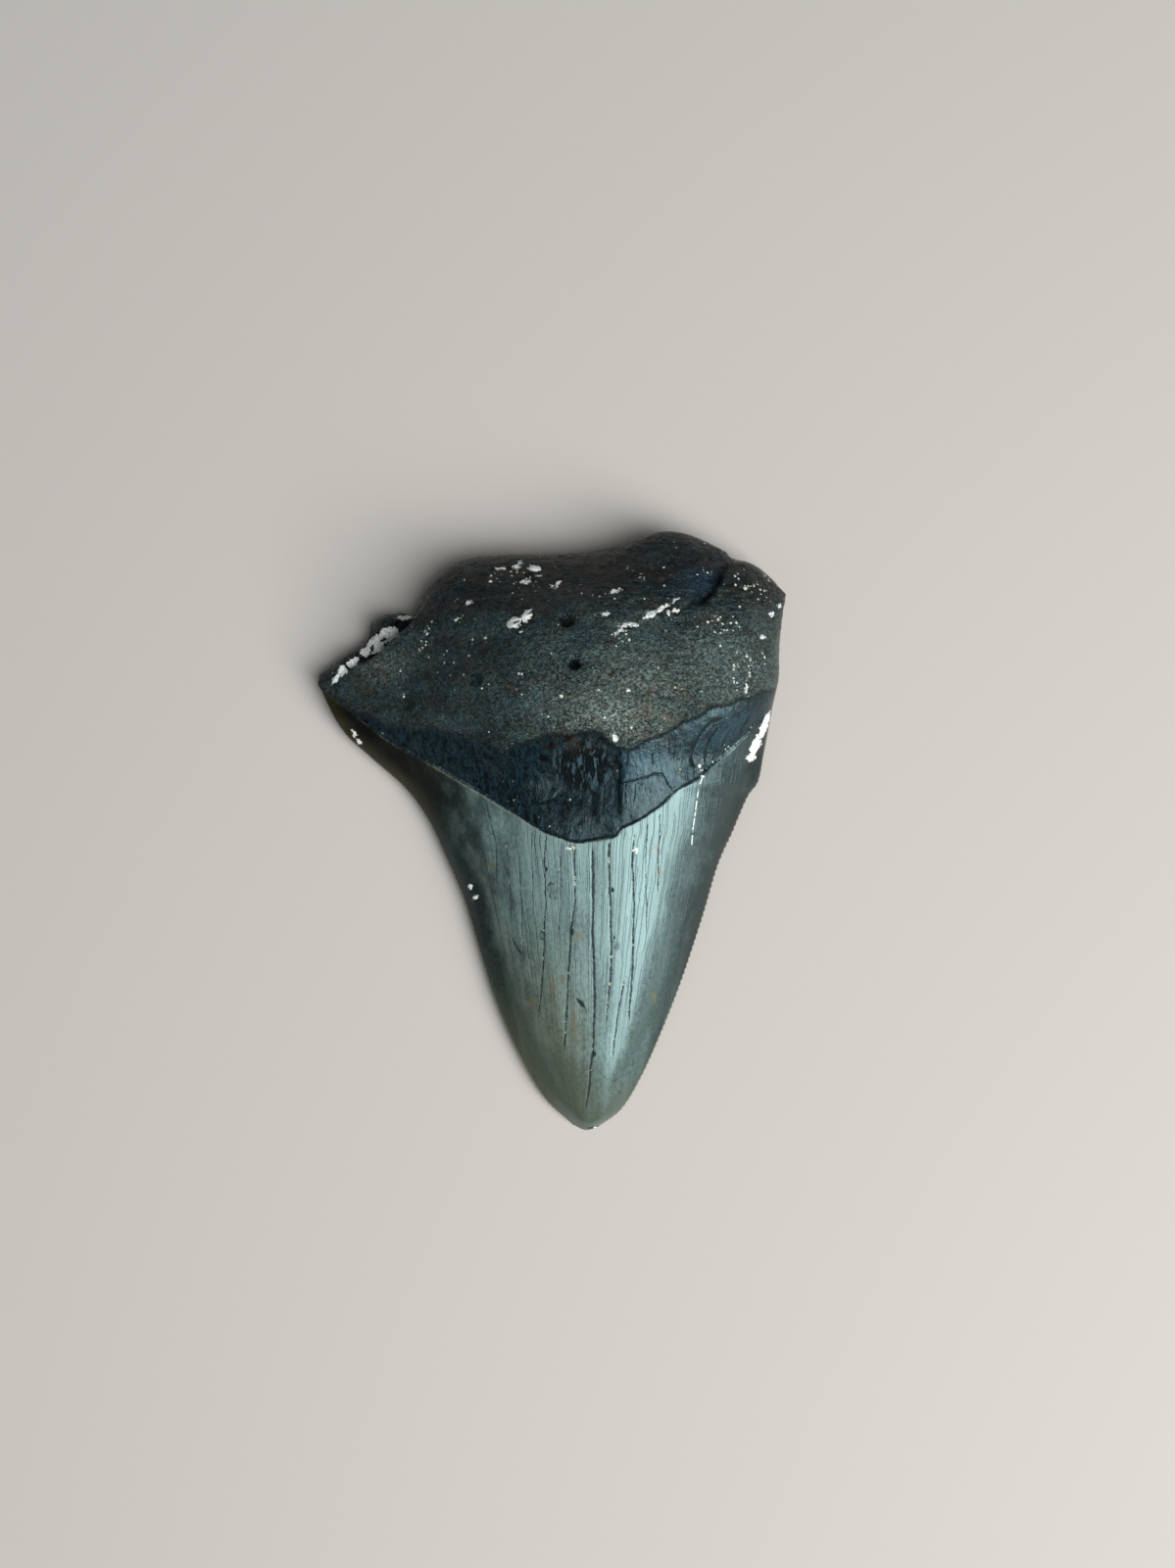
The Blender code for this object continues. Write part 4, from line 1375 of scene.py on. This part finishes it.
        # The pores are sunk in the relief and darkened: painted shade in the pits, over the root's own dark
        # colour.
        pores = n.ramp(n.grains((2.1, 2.9, 2.4), 2, 0.6, 1.2), 0.48, 0.40)
        # Near-black along the cleft: painted shade in its crease.
        trench = n.times(n.ramp(n.size(n.at("cleft_mm")), 0.45, 0.1, 0, 0.7), n.at("lingual"))
        colour = n.paint(
            n.mix(tone, look.dark, pale), (n.ramp(mottle, 0.50, 0.62, 0, 0.36), look.rust),
            (n.ramp(mottle, 0.48, 0.36, 0, 0.42), look.slate), (n.times(n.at("dust"), grit), look.dust),
            (n.times(n.at("rust"), warm), look.warm), (n.times(pores, 0.6), look.dark),
            (n.times(n.at("blue"), 0.75), look.blue), (n.ramp(n.at("break_mm"), 0.1, 0.6), look.fracture),
            (trench, self.enamel.crack),
        )
        return Layer(colour, n.gloss(felt, look.roughness), n.less(relief, n.times(pores, 0.15)))

    def strewn(self, n: Nodes, under: Layer) -> Layer:
        """White and tan specks, crowded where the attribute says so and few elsewhere; the white dots are
        partly real specks and partly painted glints.

        Args:
            n: the node calls.
            under: the layer that carries them.

        Returns:
            The layer with the specks.
        """
        crowd = n.math("POWER", n.at("speck_and_glint"), 1.5)
        # White dots: partly calcareous specks, partly painted glints.
        white = n.most(n.dots(2.4, 0.105, n.times(crowd, 0.95)), n.dots(1.2, 0.155, n.times(crowd, 0.4)))
        tan = n.dots(1.5, 0.08, n.times(n.at("lingual"), 0.08))
        colour = n.paint(under.colour, (tan, self.root.tan), (white, self.root.speck_and_glint))
        return Layer(colour, under.rough, under.relief)

    def cracked(self, n: Nodes, under: Layer, ragged: Socket) -> Layer:
        """Dark cracks of uneven width, with white dust in some of them.

        Args:
            n: the node calls.
            under: the layer they cut.
            ragged: small shifts of their edges in millimetres.

        Returns:
            The layer with the cracks.
        """
        uneven = n.ramp(n.grains((1.2, 0.8, 1)), 0.35, 0.62, 0.75, 1.5)
        offset = n.size(n.add(n.at("line_mm"), n.times(ragged, 0.45)))
        line = n.ramp(n.less(n.times(n.at("line_half"), uneven), offset), -0.005, 0.035)
        dusty = n.times(n.ramp(n.grains((0.5, 0.8, 0.5), 4, 0.7), 0.60, 0.64), n.at("dusty"))
        colour = n.mix(line, under.colour, n.mix(dusty, self.enamel.crack, self.crust.dark))
        return Layer(colour, n.blend(line, under.rough, 0.7), n.less(under.relief, n.times(line, 0.08)))

    def marked(self, n: Nodes, under: Layer, marks: Marks, ragged: Socket) -> Layer:
        """Dark chips and holes, ringed chips, and white crusts over them; the dark of the holes, pits and
        rings is partly painted shade.

        Args:
            n: the node calls.
            under: the layer that carries them.
            marks: where they are.
            ragged: small shifts of their edges in millimetres.

        Returns:
            The layer with the marks.
        """
        lingual = n.ramp(n.add(n.at("lingual"), n.times(ragged, 1.5)), 0.5, 0.7)
        warped = n.warped(1.6, 0.10)
        # Black in the holes and chips and along the rings: painted shade in the foramina, pits and chip
        # rims, over the chips' own dark colour.
        hole = n.ramp(n.ovals(marks.holes, warped), 0.06, -0.06)
        ring_mm = n.ovals(marks.rings, warped)
        broken = n.ramp(n.grains((1.7, 1.7, 1.7), 2), 0.42, 0.58)
        ring = n.times(n.ramp(n.size(ring_mm), 0.16, 0.03, 0, 0.85), broken)
        hole = n.times(n.most(hole, ring, n.ramp(ring_mm, 0.05, -0.05, 0, 0.3)), lingual)
        gap = n.times(n.ovals(marks.gaps, warped), -1)
        crust = n.most(n.ovals(marks.crusts, n.warped(1.7, 0.22)), gap)
        dashes = n.ramp(n.grains((0, 0.9, 0), 3, 0.7), 0.44, 0.50)
        fill = n.times(n.ramp(n.size(n.at("fill_mm")), 0.10, 0.04), dashes)
        crust = n.times(n.most(n.ramp(n.add(crust, ragged), 0.05, -0.05), fill), lingual)
        grit = n.ramp(n.grains((1.6, 1.6, 1.6), 4, 0.7), 0.32, 0.50)
        white = n.mix(grit, self.crust.dark, self.crust.light)
        colour = n.paint(under.colour, (hole, self.enamel.crack), (crust, white))
        rough = n.blend(crust, n.blend(hole, under.rough, 0.85), self.crust.roughness)
        return Layer(colour, rough, under.relief)

    def material(self, part: Part) -> bpy.types.Material:
        """Material of one part of the tooth: its layers, cracks and marks in one principled shader.

        Args:
            part: the part.

        Returns:
            The material.
        """
        material = bpy.data.materials.new(part.value)
        material.use_nodes = True
        n = Nodes(material)
        ragged = n.ramp(n.grains((3, 3, 3), 4, 0.6), 0.3, 0.7, -0.12, 0.12)
        side = n.at("side")
        if part is Part.CROWN:
            look, marks, layer = self.enamel, self.wear.crown_marks, self.crown(n, ragged)
            # Reflections darkened on the crown's steep flanks: painted shade in the reflections.
            reflection_shade = n.most(n.ramp(side, -0.6, -0.88), n.ramp(side, 0.82, 1))
        else:
            look, marks, layer = self.root, self.wear.root_marks, self.base(n, ragged)
            # Reflections darkened on the left of the bourlette and over the root's top: painted shade in the
            # reflections.
            reflection_shade = n.times(n.ramp(n.at("root_mm"), 0.2, -0.3), n.ramp(side, 0.36, 0.22), 0.85)
            reflection_shade = n.most(reflection_shade, n.ramp(n.at("tip_mm"), 67, 73))
        layer = self.marked(n, self.cracked(n, layer, ragged), marks, ragged)
        bump = n.node("Bump", {"Strength": 1, "Distance": MM, "Height": layer.relief})
        values = {
            "Base Color": layer.colour,
            "Roughness": layer.rough,
            "IOR": look.ior,
            "Specular IOR Level": look.reflection,
            "Specular Tint": n.mix(reflection_shade, self.enamel.reflection_tint, look.shaded_reflection_tint),
            "Normal": bump.outputs[0],
        }
        n.node("OutputMaterial", {0: n.node("BsdfPrincipled", values).outputs[0]})
        return material

    def crown(self, n: Nodes, ragged: Socket) -> Layer:
        """Enamel, and the dark seam where it meets the bourlette, partly painted shadow under the enamel's
        step.

        Args:
            n: the node calls.
            ragged: small shifts of edges in millimetres.

        Returns:
            The layer.
        """
        enamel_mm = n.add(n.at("enamel_mm"), n.times(ragged, 0.5))
        layer = n.cover(n.ramp(enamel_mm, -0.05, 0.05), self.bourlette_layer(n), self.enamel_layer(n))
        side = n.at("side")
        # Dark seam along the enamel's margin, strongest on the right: partly painted shadow under the
        # enamel's step, partly a dark groove.
        seam = n.times(n.ramp(n.size(enamel_mm), 0.13, 0.03), n.at("lingual"))
        seam = n.times(seam, n.ramp(side, -0.4, 0, 0.3, 0.85), n.ramp(side, 0.2, 0.5, 1, 0.5))
        return Layer(n.mix(seam, layer.colour, self.enamel.crack), layer.rough, layer.relief)

    def base(self, n: Nodes, ragged: Socket) -> Layer:
        """Bourlette and root, strewn with specks, with their border shifted by a ragged noise."""
        share = n.ramp(n.add(n.at("root_mm"), n.times(ragged, 2)), -0.25, 0.35)
        return self.strewn(n, n.cover(share, self.bourlette_layer(n), self.root_layer(n)))


@dataclass(frozen=True)
class Studio:
    """Pale floor, soft lights and the camera straight above."""

    camera_at: Numbers = (4.894, 6.656, 234.2)
    lens: float = 40.0
    sensor: float = 36.0
    floor_size: float = 2400.0
    floor_colour: Numbers = srgb(202, 198, 192)
    world_colour: Numbers = (0.88, 0.95, 1.0, 1.0)
    world_strength: float = 0.09
    lights: tuple[tuple[str, Numbers, Numbers, float], ...] = (
        ("window", (360.0, -230.0, 560.0), (330.0, 800.0), 6.8),
        ("ceiling", (-160.0, -120.0, 700.0), (700.0, 700.0), 0.4),
    )

    def build(self) -> None:
        """Add the floor, the lights, the world and the camera."""
        scene = bpy.context.scene
        half = self.floor_size / 2 * MM
        mesh = bpy.data.meshes.new("floor")
        corners = [(-half, -half, 0), (half, -half, 0), (half, half, 0), (-half, half, 0)]
        mesh.from_pydata(corners, [], [(0, 1, 2, 3)])
        floor = put_in_scene("floor", mesh)
        paint = bpy.data.materials.new("floor")
        paint.use_nodes = True
        shader = paint.node_tree.nodes["Principled BSDF"]
        shader.inputs["Base Color"].default_value = self.floor_colour
        shader.inputs["Roughness"].default_value = 0.9
        mesh.materials.append(paint)
        for name, place, (width, height), power in self.lights:
            lamp = bpy.data.lights.new(name, "AREA")
            lamp.shape, lamp.energy = "RECTANGLE", power
            lamp.size, lamp.size_y = width * MM, height * MM
            thing = put_in_scene(name, lamp)
            thing.location = Vector(place) * MM
            thing.rotation_euler = (-thing.location).to_track_quat("-Z", "Y").to_euler()
        world = bpy.data.worlds.new("studio")
        world.use_nodes = True
        background = world.node_tree.nodes["Background"]
        background.inputs[0].default_value = self.world_colour
        background.inputs[1].default_value = self.world_strength
        scene.world = world
        lens = bpy.data.cameras.new("camera")
        lens.lens = self.lens
        lens.sensor_width = self.sensor
        lens.clip_start = MM
        scene.camera = put_in_scene("camera", lens)
        scene.camera.location = Vector(self.camera_at) * MM
        scene.view_settings.view_transform = "Standard"


def main() -> None:
    """Build the tooth, dress it and light it."""
    logging.basicConfig(level=logging.INFO, format="%(name)s: %(message)s")
    skin = ToothSkin().build()
    finish = FossilFinish()
    for part in Part:
        skin.data.materials.append(finish.material(part))
    Studio().build()


if __name__ == "__main__":
    main()
